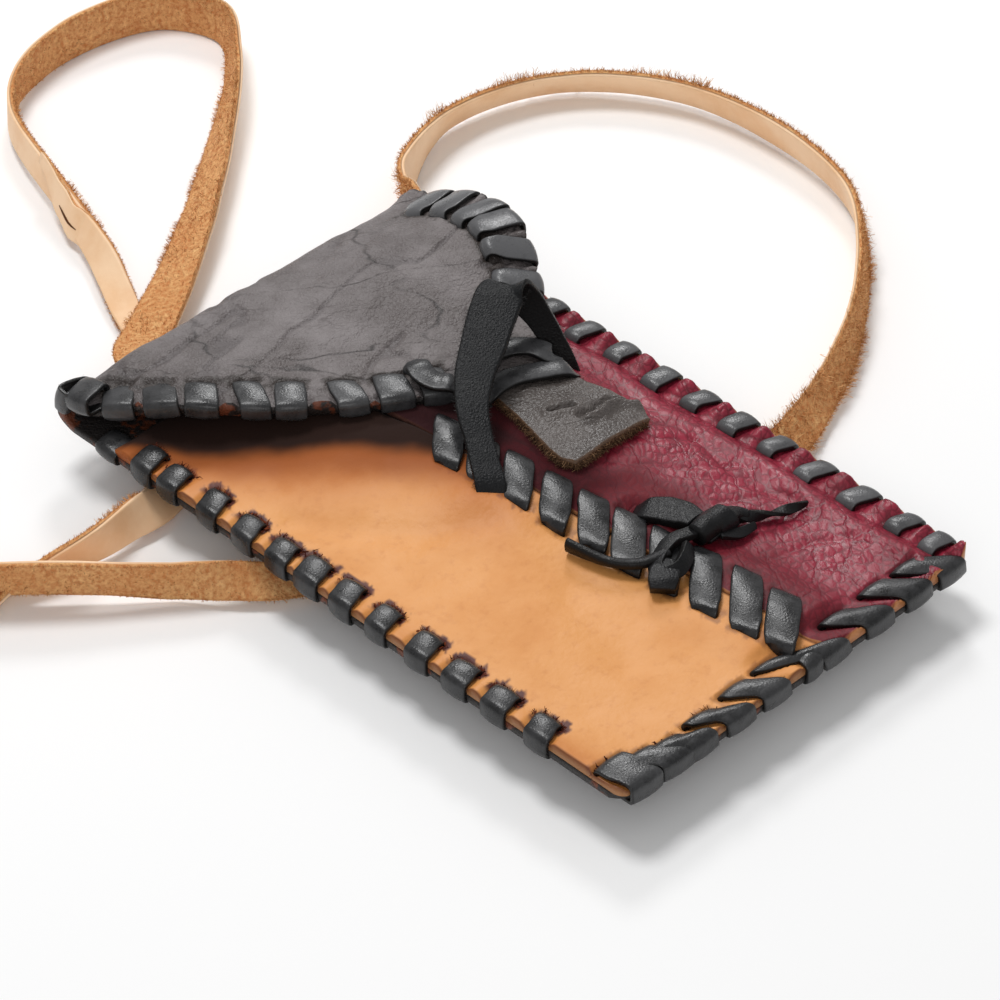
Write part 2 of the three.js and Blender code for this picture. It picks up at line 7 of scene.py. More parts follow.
import bpy
import numpy as np
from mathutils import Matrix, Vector


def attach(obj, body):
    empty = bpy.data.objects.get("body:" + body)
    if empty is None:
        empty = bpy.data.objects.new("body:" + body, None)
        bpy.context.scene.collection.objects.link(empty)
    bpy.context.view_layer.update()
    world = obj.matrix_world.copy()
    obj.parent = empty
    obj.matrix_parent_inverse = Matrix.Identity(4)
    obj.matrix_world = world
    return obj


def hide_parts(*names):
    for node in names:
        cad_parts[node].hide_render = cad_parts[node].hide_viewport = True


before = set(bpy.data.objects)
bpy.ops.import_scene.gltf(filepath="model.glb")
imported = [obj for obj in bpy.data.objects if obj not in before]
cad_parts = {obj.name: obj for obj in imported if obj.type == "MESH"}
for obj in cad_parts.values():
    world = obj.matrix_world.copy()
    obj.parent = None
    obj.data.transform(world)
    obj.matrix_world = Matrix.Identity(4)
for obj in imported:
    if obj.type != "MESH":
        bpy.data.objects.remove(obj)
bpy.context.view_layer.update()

# Sizes in millimetres, as in the solids apart from a fuller curve of the flap's edges
MM = 0.001
POUCH_WIDTH = 100
POUCH_LENGTH = 165
LEATHER = 1.5
CLEARANCE = 0.3
BULGE = 4.6
SIDE_MARGIN = 9.5
BOTTOM_MARGIN = 12
LEFT_RISE = 34
RIGHT_RISE = 11
BOTTOM_RISE = 95
MOUTH_SETBACK = 19
SEAM_BOTTOM_X = 8
SEAM_LEAN = 0.125
SEAM_GAP = 0.6
FOLD_RADIUS = 6.3
FLAP_TIP_LEFT = (7, 22)
FLAP_TIP_RIGHT = (40, 30)
FLAP_LEFT_BOW = -5.5
FLAP_RIGHT_BOW = 7
FLAP_SAG = 1.2
FLAP_SAG_LENGTH = 40
TONGUE_WIDTH = 16
TONGUE_END_WIDTH = 25
TONGUE_CENTRE_X = 20
TONGUE_SHOULDER_Y = 16
TONGUE_END_Y = -11
LACE_THICKNESS = 1
STRAP_WIDTH = 11
STRAP_THICKNESS = 1.8
LIFT = 8.5
SIDE_X = POUCH_WIDTH / 2
LACE_REACH = CLEARANCE + LACE_THICKNESS
FOLD_Y = (POUCH_LENGTH + LACE_REACH) / 2
BOTTOM_Y = FOLD_Y - POUCH_LENGTH
FOLD_CENTRE_Y = FOLD_Y - FOLD_RADIUS
MOUTH_Y = FOLD_Y - MOUTH_SETBACK
BACK_UNDER = LIFT + LACE_REACH
BACK_TOP = BACK_UNDER + LEATHER
FLAP_TOP = BACK_UNDER + 2 * FOLD_RADIUS
FOLD_CENTRE_Z = FLAP_TOP - FOLD_RADIUS
EDGE_THICKNESS = 2 * LEATHER + CLEARANCE
UP = np.array([0.0, 0.0, 1.0])


# Camera at the photograph's angle
CAMERA_TARGET = Vector((-0.0038, -0.0020, 0.0114))
CAMERA_AZIMUTH = math.radians(-44.72)
CAMERA_ELEVATION = math.radians(39.60)
CAMERA_DISTANCE = 0.917
CAMERA_SENSOR = 36
CAMERA_LENS = 162


def make_camera():
    level = math.cos(CAMERA_ELEVATION)
    side, ahead = math.sin(CAMERA_AZIMUTH), -math.cos(CAMERA_AZIMUTH)
    back = Vector((side * level, ahead * level, math.sin(CAMERA_ELEVATION)))
    data = bpy.data.cameras.new("camera")
    data.sensor_width = CAMERA_SENSOR
    data.lens = CAMERA_LENS
    camera = bpy.data.objects.new("camera", data)
    camera.location = CAMERA_TARGET + back * CAMERA_DISTANCE
    camera.rotation_euler = (-back).to_track_quat("-Z", "Y").to_euler()
    bpy.context.collection.objects.link(camera)
    bpy.context.scene.camera = camera


make_camera()


# Numbers shared by the shapes
def smooth(distance, over=1):
    """A soft step that rises from 0 to 1 over a distance."""
    t = np.clip(distance / over, 0, 1)
    return t * t * (3 - 2 * t)


def bell(distance, width):
    return np.exp(-((distance / width) ** 2))


def lerp(a, b, t):
    return a + (b - a) * t


def unit(v):
    return v / np.maximum(np.linalg.norm(v, axis=-1, keepdims=True), 1e-9)


# Values that scatter the corners of a cell into random numbers
SCATTER = np.array([127.1, 311.7, 74.7])
SCATTER_SEED = 53.7
SCATTER_SCALE = 43758.5453


def noise(points, grain, seed):
    """Soft random hills between -1 and 1, about one grain wide."""
    q = np.asarray(points, float) / grain
    cell = np.floor(q)
    ease = smooth(q - cell)
    total = 0
    for corner in itertools.product((0, 1), repeat=q.shape[-1]):
        weight = np.prod(np.where(np.array(corner) == 1, ease, 1 - ease), axis=-1)
        value = np.sin((cell + corner) @ SCATTER[: q.shape[-1]] + seed * SCATTER_SEED) * SCATTER_SCALE
        total = total + weight * (value - np.floor(value))
    return total * 2 - 1


def rough(points, grain, seed):
    """Hills with two finer layers on them, each half as wide and half as high."""
    shares = (1, 0.5, 0.25)
    layers = [noise(points, grain * share, seed + k) * share for k, share in enumerate(shares)]
    return sum(layers) / sum(shares)


def curve_through(points, steps):
    """Centripetal curve through points, as many steps from each to the next."""
    p = np.asarray(points, float)
    padded = np.vstack([2 * p[0] - p[1], p, 2 * p[-1] - p[-2]])
    t = np.linspace(0, 1, steps, endpoint=False)[:, None]
    rows = []
    for a, b, c, d in zip(padded, padded[1:], padded[2:], padded[3:]):
        before, span, after = (np.linalg.norm(q - r) ** 0.5 for q, r in ((b, a), (c, b), (d, c)))
        start = ((b - a) / before - (c - a) / (before + span) + (c - b) / span) * span
        end = ((c - b) / span - (d - b) / (span + after) + (d - c) / after) * span
        bend = 3 * (c - b) - 2 * start - end
        rows.append(b + start * t + bend * t**2 + (2 * (b - c) + start + end) * t**3)
    return np.vstack([*rows, p[-1:]])


def along_of(path):
    return unit(np.gradient(path, axis=0))


def walk(path):
    """Distance from the start of a path to each of its points."""
    return np.concatenate([[0], np.cumsum(np.linalg.norm(np.diff(path, axis=0), axis=1))])


def routed(points, steps, spacing, *values):
    """A path with even steps through stations, and other values of the stations along it."""
    path = curve_through(points, steps)
    at = np.linspace(0, len(points) - 1, len(path))
    values = [np.interp(at, np.arange(len(points)), column) for column in values]
    gone = walk(path)
    even = np.linspace(0, gone[-1], int(gone[-1] / spacing) + 1)
    place = [np.interp(even, gone, column) for column in (*path.T, *values)]
    return [np.stack(place[:3], axis=-1), *place[3:]]


# Meshes
def make_object(name, points, faces, values=None, smooth_shading=True):
    mesh = bpy.data.meshes.new(name)
    mesh.from_pydata((np.asarray(points) * MM).tolist(), [], [list(map(int, face)) for face in faces])
    for key, numbers in (values or {}).items():
        mesh.attributes.new(key, "FLOAT", "POINT").data.foreach_set("value", np.asarray(numbers, "f"))
    if smooth_shading:
        mesh.shade_smooth()
    piece = bpy.data.objects.new(name, mesh)
    bpy.context.collection.objects.link(piece)
    return piece


def part_of(piece, node=None):
    """Every piece rides on the one body, and most take the place of a node of the solids."""
    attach(piece, "root")
    if node:
        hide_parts(node)
    return piece


def sheet_object(name, node, upper, lower, torn, values):
    """A closed sheet between two grids of points, torn on its upper side and with flesh on the other."""
    rows, columns = upper.shape[:2]
    shift = rows * columns
    index = np.arange(shift).reshape(rows, columns)
    low = index + shift
    border = np.concatenate([index[0], index[1:, -1], index[-1, -2::-1], index[-2:0:-1, 0]])
    after = np.roll(border, -1)
    quads = [
        np.stack([index[:-1, :-1], index[:-1, 1:], index[1:, 1:], index[1:, :-1]], -1).reshape(-1, 4),
        np.stack([low[:-1, :-1], low[1:, :-1], low[1:, 1:], low[:-1, 1:]], -1).reshape(-1, 4),
        np.stack([border, border + shift, after + shift, after], -1),
    ]
    points = np.concatenate([upper.reshape(-1, 3), lower.reshape(-1, 3)])
    zero = np.zeros((rows, columns))
    rim = np.ones((rows, columns))
    rim[1:-1, 1:-1] = 0
    pairs = {key: (value, value) for key, value in {**values, "rim": rim}.items()}
    pairs.update(torn=(torn, zero), flesh=(zero, zero + 1))
    flat = {key: np.concatenate([a.ravel(), b.ravel()]) for key, (a, b) in pairs.items()}
    return part_of(make_object(name, points, np.concatenate(quads), flat), node)


def section(crown):
    """Outline of a cut strip with slightly broken edges and a crowned face, between -1 and 1."""
    top = [(a, 1 + crown * (1 - a * a)) for a in (0.97, 0.86, 0.45, 0, -0.45, -0.86, -0.97)]
    low = [(a, -1) for a in (-0.97, -0.86, 0, 0.86, 0.97)]
    return np.array([(1, -0.7), (1, 0.7), *top, (-1, 0.7), (-1, -0.7), *low]).T


def round_section(corners=14):
    """Outline of a rolled strip."""
    angle = np.arange(corners) / corners * 2 * math.pi
    return np.stack([np.sign(np.cos(angle)) * np.abs(np.cos(angle)) ** 0.7, np.sin(angle)])


def strip(centres, across, widths, thicknesses, outline, sheared=False):
    """Points, faces and the place round its outline of a strip with closed ends."""
    along = along_of(centres)
    if not sheared:
        across = unit(across - np.sum(across * along, -1, keepdims=True) * along)
    out = unit(np.cross(along, across))
    side, face = outline
    corners = len(side)
    widths = np.broadcast_to(widths, len(centres))[:, None, None]
    thicknesses = np.broadcast_to(thicknesses, len(centres))[:, None, None]
    rings = (centres[:, None] + across[:, None] * side[None, :, None] * widths / 2
             + out[:, None] * face[None, :, None] * thicknesses / 2)
    index = np.arange(rings.shape[0] * corners).reshape(-1, corners)
    turned = np.roll(index, -1, axis=1)
    quads = np.stack([index[:-1], turned[:-1], turned[1:], index[1:]], -1).reshape(-1, 4)
    faces = [*quads.tolist(), index[0][::-1].tolist(), index[-1].tolist()]
    return rings.reshape(-1, 3), faces, np.tile(face, len(centres)), np.tile(side, len(centres))


def strips_object(name, strips, tones, node=None):
    """Several strips as one piece, each with its own tone."""
    points, faces, values = [], [], {"tone": [], "face": [], "side": []}
    count = 0
    for (p, f, face, side), tone in zip(strips, tones):
        points.append(p)
        faces.extend([[k + count for k in corner] for corner in f])
        values["tone"].append(np.full(len(p), tone))
        values["face"].append(face)
        values["side"].append(side)
        count += len(p)
    joined = {key: np.concatenate(parts) for key, parts in values.items()}
    return part_of(make_object(name, np.concatenate(points), faces, joined), node)


def fibres_object(name, roots, directions, lengths, widths, seed):
    """Loose leather fibres, each a thin bent blade."""
    pick = np.random.default_rng(seed)
    directions = unit(directions)
    aside = unit(np.cross(directions, pick.normal(size=roots.shape)))
    bend = pick.normal(size=roots.shape) * lengths[:, None] * 0.18
    half = aside * widths[:, None] / 2
    middle = roots + directions * lengths[:, None] * 0.5 + bend
    tip = roots + directions * lengths[:, None] - bend * 0.5
    points = np.stack([roots - half, roots + half, middle + half * 0.6, middle - half * 0.6, tip], 1)
    start = np.arange(len(roots)) * 5
    quads = np.stack([start, start + 1, start + 2, start + 3], -1).tolist()
    tips = np.stack([start + 3, start + 2, start + 4], -1).tolist()
    tone = np.repeat(pick.random(len(roots)), 5)
    return make_object(name, points.reshape(-1, 3), quads + tips, {"tone": tone}, False)


# Strap: place, height under its lower edge and turn in degrees, 0 standing and 90 lying
END_HEIGHT = BACK_TOP + CLEARANCE
STRAP_ROUTE = [
    (42, 75, END_HEIGHT, -90), (47, 80, END_HEIGHT, -70), (53, 85, 6, -20), (60, 91.5, 1, 12),
    (66.5, 99, 0, 10), (91, 109, 0, -24), (118, 101.5, 0, -32), (135, 79.5, 0, -24), (138.5, 50, 0, -16),
    (132, 24, 0, -12), (117, 6.5, 0, -12), (96, -9.5, 0, -16), (76, -19.5, 0, -32),
    (58, -24.5, 0, -56), (44, -22, 0, -62), (18, -8, 0, -90), (-18, 6, 0, -90),
    (-47, 17.5, 0, -56), (-56, 24, 0, -26), (-63, 30.5, 0, -4), (-76, 42, 1.6, 6),
    (-86, 51, 2.2, 8), (-96, 59, 2.2, 4), (-112, 66, 0, 0), (-124, 61, 0, -10),
    (-119, 54.5, 0, -40), (-108, 55, 0, -84), (-97, 57, 0, -90), (-84, 56, 0, -60), (-68, 51, 0, -4),
    (-57, 51.5, 0, 24), (-48, 53, 0, 54), (-27, 65, 0, 90), (-13, 97, 0, 91),
    (-8, 110, 0, 104), (-1.4, 125, 0, 140), (5.6, 145, 0, 160), (18, 179, 0, 176),
    (30, 190, 0, 182), (52, 195, 0, 180), (73, 189, 0, 182), (79, 175, 0, 187),
    (69, 160, 0, 196), (44, 137.5, 0, 220), (13, 113.5, 1.4, 240), (-10, 98.5, 3.4, 264),
    (-21, 90, 8, 270), (-26, 83, END_HEIGHT, 270), (-27, 75, END_HEIGHT, 270),
]
STRAP_STEP = 1.5
STRAP_BODY = 0.92  # share of its thickness that is left under the crowned face
STRAP_CROWN = 0.05
FLOOR_GAP = 0.1
SPLICE_FROM = 133
SPLICE_TO = 159
SPLICE_RIGHT = 20


def strap_stations():
    rows = np.array(STRAP_ROUTE, float)
    turn = np.radians(rows[:, 3])
    rise = (STRAP_WIDTH * np.abs(np.cos(turn)) + STRAP_THICKNESS * np.abs(np.sin(turn))) / 2
    stations = np.column_stack([rows[:, :2], rows[:, 2] + rise])
    centres, turns = routed(stations, 14, STRAP_STEP, turn)
    level = along_of(centres * [1, 1, 0])
    left = np.cross(UP, level)
    across = left * np.sin(turns)[:, None] + UP * np.cos(turns)[:, None]
    out = np.cross(level, across)
    lowest = STRAP_WIDTH / 2 * np.abs(across[:, 2]) + STRAP_THICKNESS / 2 * np.abs(out[:, 2]) + FLOOR_GAP
    centres[:, 2] = np.maximum(centres[:, 2], lowest)
    return centres, across, out


def strap_widths(centres):
    """Width along the strap, cut narrower from its right loop to the splice and most before the splice."""
    share = walk(centres) / walk(centres)[-1]
    narrow = 0.25 * smooth(share - 0.03, 0.05) + 0.14 * smooth(share - 0.6, 0.04)
    ragged = 0.035 * noise(walk(centres)[:, None], 9, 3)
    return STRAP_WIDTH * (1 - narrow * smooth(0.8 - share, 0.05) + ragged)


def make_strap():
    centres, across, _ = strap_stations()
    thickness = STRAP_THICKNESS * STRAP_BODY
    widths = strap_widths(centres)
    points, faces, face, side = strip(centres, across, widths, thickness, section(STRAP_CROWN))
    strap = make_object("strap_leather_strip", points, faces, {"face": face, "side": side})
    part_of(strap, "strap")
    return strap


def splice():
    """The strap's join: the end of a second strip on the first, and a dark strip painted as the shadow in
    its slit.
    """
    centres, across, out = strap_stations()
    x, y, _ = centres.T
    join = np.flatnonzero((y > SPLICE_FROM) & (y < SPLICE_TO) & (x < SPLICE_RIGHT))
    share = np.linspace(0, 1, len(join))
    aside = np.sin(share * math.pi * 2.6) * 0.5 - 4.6 * smooth(share - 0.5, 0.5)
    path = centres[join] + out[join] * 1.3 * smooth(share, 0.25)[:, None] + across[join] * aside[:, None]
    tapered = STRAP_WIDTH * lerp(0.64, 0.26, smooth(share - 0.45, 0.5))
    tab = strip(path, across[join], tapered * (1 + 0.12 * noise(path, 3, 6)), 1, section(STRAP_CROWN))
    # The slit is a thin dark strip on the tab: painted shadow
    cut = slice(len(join) // 8, len(join) // 2)
    slit_path = (path + out[join] * 0.5 + across[join] * 0.9)[cut]
    slit_widths = 0.12 + 0.5 * np.sin(np.linspace(0, math.pi, len(slit_path)))
    slit = strip(slit_path, across[join][cut], slit_widths, 0.3, section(STRAP_CROWN))
    shapes = (("strap_splice_tab", tab, 0.5), ("strap_splice_slit", slit, 0.2))
    return [strips_object(name, [shape], [tone]) for name, shape, tone in shapes]


strap = make_strap()
splice_tab, splice_slit = splice()


# Outline and heights of the front
CORNER = 3  # rounding of the pouch's bottom corners
RIDGE_HEIGHT = 1.7  # ridge of the front over the seam's lace
RIDGE_START = 7
RIDGE_RISE = 3.2
RIDGE_FLAT = 8.3
RIDGE_SLOPE = 9


def side_at(y):
    """Half width of the pouch, less in its rounded bottom corners."""
    into = np.clip(CORNER - (y - BOTTOM_Y), 0, CORNER)
    return SIDE_X - CORNER + np.sqrt(CORNER**2 - into**2)


def seam_x(y):
    return SEAM_BOTTOM_X - SEAM_LEAN * (y - BOTTOM_Y)


def front_top(x, y):
    left = smooth(x + SIDE_X - SIDE_MARGIN, LEFT_RISE)
    right = smooth(SIDE_X - x - SIDE_MARGIN, RIGHT_RISE)
    bottom = smooth(y - BOTTOM_Y - BOTTOM_MARGIN, BOTTOM_RISE)
    begun = smooth(y - BOTTOM_Y - RIDGE_START, RIDGE_RISE)
    ridge = RIDGE_HEIGHT * begun * (1 - smooth(np.abs(x - seam_x(y)) - RIDGE_FLAT, RIDGE_SLOPE))
    return BACK_TOP + CLEARANCE + np.hypot(BULGE * left * right * bottom, ridge) + LEATHER


# The back, fold, flap and tongue are one sheet: u runs across it and s from 0 at the bottom of the back
# through 1 at the fold, 2 at the flap and 3 at the tongue to 4 at its end
def bowed(start, end, bow, t):
    start, end = np.array(start, float), np.array(end, float)
    across = unit(end - start)
    middle = (start + end) / 2 + np.array([-across[1], across[0]]) * 2 * bow
    t = np.asarray(t)[..., None]
    return (1 - t) ** 2 * start + 2 * t * (1 - t) * middle + t**2 * end


def fold_dent(u):
    """How far the fold is pressed down, most at its left end."""
    left = 0.8 * (1 - smooth(u, 0.2))
    middle = 0.6 * smooth(1 - np.abs(u - 0.45) / 0.3)
    return 2.3 + left - middle + 0.2 * np.sin(u * 23)


# Raise of the flap's right edge: share of its length and height
RIGHT_RAISE = ((0, 0), (0.1, 1.6), (0.27, 4), (0.45, 6.2), (0.6, 6.8), (0.73, 4.6), (0.84, 2.2), (1, 0.8))


def flap_height(u, t, y):
    height = FLAP_TOP - FLAP_SAG * smooth(FOLD_CENTRE_Y - y, FLAP_SAG_LENGTH)
    raised = np.interp(t, *np.array(RIGHT_RAISE).T) * smooth(u - 0.35, 0.65)
    dented = fold_dent(u) * (1 - smooth(t, 0.3))
    rolled = lerp(1.6, 0.7, smooth(t, 0.5)) * smooth(1 - u * (1 - 0.6 * t) * 12)
    return height + raised - dented - rolled


def tongue_sides(t):
    """Left and right edge of the tongue from the flap's tip to its end."""
    reach = 2 / 7
    shoulder = smooth(t, reach)
    to_end = np.clip((t - reach) / (1 - reach), 0, 1)
    half = lerp(TONGUE_WIDTH, TONGUE_END_WIDTH, smooth(to_end)) / 2
    end_round = 1.6 * smooth(to_end - 0.86, 0.14)
    y = lerp(TONGUE_SHOULDER_Y, TONGUE_END_Y, to_end)
    sides = []
    for tip, sign in ((FLAP_TIP_LEFT, -1), (FLAP_TIP_RIGHT, 1)):
        x = lerp(tip[0], TONGUE_CENTRE_X + sign * (half - end_round), shoulder)
        sides.append(np.stack([x, lerp(tip[1], y, shoulder)], -1))
    return sides


def sheet_point(u, s):
    u, s = np.broadcast_arrays(np.asarray(u, float), np.asarray(s, float))
    x = lerp(-SIDE_X, SIDE_X, u)
    y = lerp(BOTTOM_Y, FOLD_CENTRE_Y, np.clip(s, 0, 1))
    back = np.stack([x * side_at(y) / SIDE_X, y, np.full_like(x, BACK_UNDER)], -1)
    angle = (np.clip(s, 1, 2) - 1.5) * math.pi
    radius = FOLD_RADIUS - fold_dent(u) * smooth(s - 1.2, 0.6)
    fold = np.stack([x, FOLD_CENTRE_Y + radius * np.cos(angle), FOLD_CENTRE_Z + radius * np.sin(angle)], -1)
    t = np.clip(s - 2, 0, 1)
    left = bowed((-SIDE_X, FOLD_CENTRE_Y), FLAP_TIP_LEFT, FLAP_LEFT_BOW, t)
    right = bowed((SIDE_X, FOLD_CENTRE_Y), FLAP_TIP_RIGHT, FLAP_RIGHT_BOW, t)
    flat = lerp(left, right, u[..., None])
    flap = np.concatenate([flat, flap_height(u, t, flat[..., 1])[..., None]], -1)
    end = np.clip(s - 3, 0, 1)
    left, right = tongue_sides(end)
    flat = lerp(left, right, u[..., None])
    x, y = flat[..., 0], flat[..., 1]
    low = front_top(x, y) + CLEARANCE + LEATHER + 0.5 + 1.2 * np.cos((u - 0.45) * 3) * smooth(end)
    drop = smooth(FLAP_TIP_LEFT[1] - y, 12)
    tongue = np.concatenate([flat, lerp(flap_height(u, 1, y), low, drop)[..., None]], -1)
    s = s[..., None]
    return np.where(s < 1, back, np.where(s < 2, fold, np.where(s < 3, flap, tongue)))


def sheet_frame(u, s):
    """Point, run along the sheet, run across it and outward normal."""
    step = 1e-3
    along = unit(sheet_point(u, s + step) - sheet_point(u, s - step))
    across = unit(sheet_point(np.minimum(u + step, 1), s) - sheet_point(np.maximum(u - step, 0), s))
    return sheet_point(u, s), along, across, unit(np.cross(along, across))


# Stitches: a frame on the leather's edge, how far in the slot is, and how the band slants
def stitch(origin, tangent, inward, normal, thickness, inset, slant, width, ease=1.4):
    tangent, inward, normal = (unit(np.array(way, float)) for way in (tangent, inward, normal))
    return SimpleNamespace(origin=np.array(origin, float), tangent=tangent, inward=inward, normal=normal,
                           thickness=thickness, inset=inset, slant=slant, width=width, ease=ease)


def varied(value, spread, pick):
    return value + pick.uniform(-spread, spread)


LEFT_STITCHES = (-57.5, -46.3, -35.5, -24.6, -13.2, -2.4, 7.4, 16.2, 26.4, 37.4, 48.6, 56.8, 67.4)
RIGHT_STITCHES = (-74.6, -65.6, -53.4, -41.6, -30.6, -20.1, -9.1, 1.5, 13.4, 24.4, 35, 46, 57, 68)
# Place of each slot along the bottom, its inset, the band's slant and its width
BOTTOM_STITCHES = ((-45.8, 8, 1.6, 8.4), (-40.8, 5.8, 5, 8.2), (-34.8, 4.6, 6, 8), (-24.8, 5, 6.6, 7.8),
                   (-14, 5.8, 6, 7.8), (-4.5, 6, 13.4, 7.8), (3, 3, 0, 4.8),
                   (15.4, 6.2, 6.6, 8), (27.4, 6.8, 6.2, 7.8), (37, 6.6, 6.6, 7.8))
# Place along the seam, reach to each side and slant
SEAM_STITCHES = ((13, 5.2, 8), (4, 5.2, 8), (-5, 5.4, 8.2), (-14.6, 5.6, 8.6), (-24, 5.8, 9),
                 (-32.8, 6.2, 9.4), (-41.8, 6.4, 9.8), (-51.8, 6.9, 10.4), (-61.6, 7, 10.6),
                 (-70.4, 6.2, 8.6))


def side_stitches(side, places, inset, width, seed):
    pick = np.random.default_rng(seed)
    rows = []
    for y in places:
        closed = y < MOUTH_Y
        origin = (side * SIDE_X, y, front_top(side * SIDE_X, y) if closed else BACK_TOP)
        thickness = EDGE_THICKNESS if closed else LEATHER
        rows.append(stitch(
            origin, (0, side, 0), (-side, 0, 0), UP, thickness, varied(inset, 0.6, pick),
            varied(-1.2 * side, 0.7, pick), varied(width, 0.5, pick), 2.6 if side > 0 else 1.6))
    return rows


def bottom_stitches():
    rows = []
    for x, inset, slant, width in BOTTOM_STITCHES:
        origin = (x, BOTTOM_Y, front_top(x, BOTTOM_Y))
        rows.append(stitch(origin, (1, 0, 0), (0, 1, 0), UP, EDGE_THICKNESS, inset, slant, width))
    return rows


def seam_stitches():
    pick = np.random.default_rng(31)
    along = unit(np.array([-SEAM_LEAN, 1, 0]))
    inward = np.cross(UP, along)
    rows = []
    for y, reach, slant in SEAM_STITCHES:
        origin = (seam_x(y), y, front_top(seam_x(y), y))
        rise = front_top(seam_x(y + 1), y + 1) - origin[2]
        tangent = unit(along + UP * rise)
        rows.append(stitch(
            origin, tangent, inward, np.cross(inward, -tangent), LEATHER, reach,
            varied(slant, 0.5, pick), varied(6.7, 0.4, pick)))
    return rows


FLAP_EDGE = 2.3  # thickness of the flap's edge with the leather squeezed up by the lace


def flap_stitches(u, stops, inset, width, seed):
    pick = np.random.default_rng(seed)
    rows = []
    for s in stops:
        origin, along, across, normal = sheet_frame(np.float64(u), np.float64(s))
        inward = across if u == 0 else -across
        inward = unit(inward - along * np.dot(inward, along))
        rows.append(stitch(
            origin, along, inward, normal, FLAP_EDGE, varied(inset, 0.6, pick),
            varied(1.2, 1.4, pick), varied(width, 0.6, pick)))
    return rows


FLAP_LEFT_STOPS = (1.45, 1.93, 2.1, 2.21, 2.327, 2.45, 2.57, 2.71, 2.84, 2.95)
FLAP_RIGHT_STOPS = (2.08, 2.23, 2.39, 2.55, 2.72, 2.89)
left_stitches = side_stitches(-1, LEFT_STITCHES, 5.2, 6.1, 11)
right_stitches = side_stitches(1, RIGHT_STITCHES, 5.6, 4.8, 12)
bottom_row = bottom_stitches()
seam_row = seam_stitches()
flap_left_row = flap_stitches(0, FLAP_LEFT_STOPS, 6.8, 7, 41)
flap_right_row = flap_stitches(1, FLAP_RIGHT_STOPS, 9.4, 6.2, 42)


# Leather round the slots: a dark line where the lace goes in, torn flesh round it,
# and the leather pressed down by the band
SLOT_HEIGHT = 4  # how far over or under a slot the leather still belongs to it


def slot_marks(points, stitches, both_sides=False, fringe=1.4):
    hole, torn, pressed = np.zeros((3, *points.shape[:-1]))
    ragged = rough(points[..., :2], 1.5, 5)
    for row in stitches:
        for sign in (1, -1) if both_sides else (1,):
            shift = -row.slant / 2 * sign if both_sides else 0
            away = points - row.origin - row.inward * row.inset * sign - row.tangent * shift
            beside = np.abs(away @ row.tangent) - row.width / 2
            inward = (away @ row.inward) * sign
            near = np.abs(away @ row.normal) < SLOT_HEIGHT
            line = smooth(-beside, 0.8) * smooth(0.9 - np.abs(inward - 0.2), 0.6)
            hole = np.maximum(hole, line * near)
            reach = np.hypot(np.maximum(beside + 0.5, 0), np.maximum(inward - 0.5, 0))
            mark = smooth(fringe + 1.7 * ragged - reach, 0.5) * smooth(inward + 3.2, 2)
            torn = np.maximum(torn, mark * near)
            lean = 0 if both_sides else row.slant * np.clip(-inward / row.inset, 0, 1)
            along = np.abs(away @ row.tangent - lean) - row.width / 2
            pressed = np.maximum(pressed, smooth(1 - along / row.ease) * (inward < 1) * near)
    return hole, torn, pressed


def crease(points, line, width):
    """How near each point is to a crease, 1 on it."""
    best = np.zeros(points.shape[:-1])
    for a, b in zip(np.array(line, float), np.array(line[1:], float)):
        along = np.clip(((points - a) @ (b - a)) / np.dot(b - a, b - a), 0, 1)
        reach = np.linalg.norm(points - a - along[..., None] * (b - a), axis=-1)
        best = np.maximum(best, bell(reach, width))
    return best


# Front panels
PANEL_STEP = 0.55


def panel_grid(left_of, right_of):
    """Places on a panel: x, y, both as flat points, and the points of its plain face."""
    rows = int((MOUTH_Y - BOTTOM_Y) / PANEL_STEP)
    y = np.linspace(BOTTOM_Y, MOUTH_Y, rows)[:, None]
    columns = int((right_of(0) - left_of(0)) / PANEL_STEP)
    x = lerp(left_of(y), right_of(y), np.linspace(0, 1, columns)[None, :])
    y = np.broadcast_to(y, x.shape).copy()
    return x, y, np.stack([x, y], -1), np.stack([x, y, front_top(x, y)], -1)


def finish_panel(name, node, face, relief, marks, tone, shade, puff):
    hole, torn, pressed = marks
    x, y, base = np.moveaxis(face, -1, 0)
    fine = 0.15 * rough(face[..., :2], 6, 9)
    puffed = puff * (1 - pressed) - 0.3 * pressed
    upper = np.stack([x, y, base + relief + fine + puffed - 0.8 * hole], -1)
    lower = np.stack([x, y, base - LEATHER + np.minimum(relief, 0) * 0.5], -1)
    panel = sheet_object(name, node, upper, lower, torn, {"tone": tone, "shade": shade})
    return panel


LOOP_FOOT = (-10.3, -4.7)
TIE_HOLE = (10, -28.5)
# Depth, width and line of each soft crease
TAN_CREASES = (
    (0.9, 4, ((-14, -9), (-25, -1), (-40, 20))),
    (0.6, 5, ((-6, -22), (-16, -34), (-22, -56))),
    (1.2, 6, ((-38, 52), (-24, 42), (-4, 28), (6, 24))),
)
BURGUNDY_CREASES = (
    ((20, -2), (28, -14), (36, -19)), ((16, -12), (26, -24), (37, -31)), ((22, -22), (31, -33), (36, -44)),
    ((24, -36), (33, -41), (38, -52)), ((18, -55), (30, -57), (39, -64)), ((36, -19), (33, -33), (37, -46)),
)
FLAP_EDGE_LEAN = 0.72  # share of a distance along the pouch that is square to the flap's left edge


def beyond_flap(x, y):
    """How far a place on the front is outside the flap's left edge."""
    edge = bowed((-SIDE_X, FOLD_CENTRE_Y), FLAP_TIP_LEFT, FLAP_LEFT_BOW, np.linspace(0, 1, 40))
    edge_y = np.interp(x, edge[:, 0], edge[:, 1], right=FLAP_TIP_LEFT[1] - 6)
    return edge_y * FLAP_EDGE_LEAN - y * FLAP_EDGE_LEAN


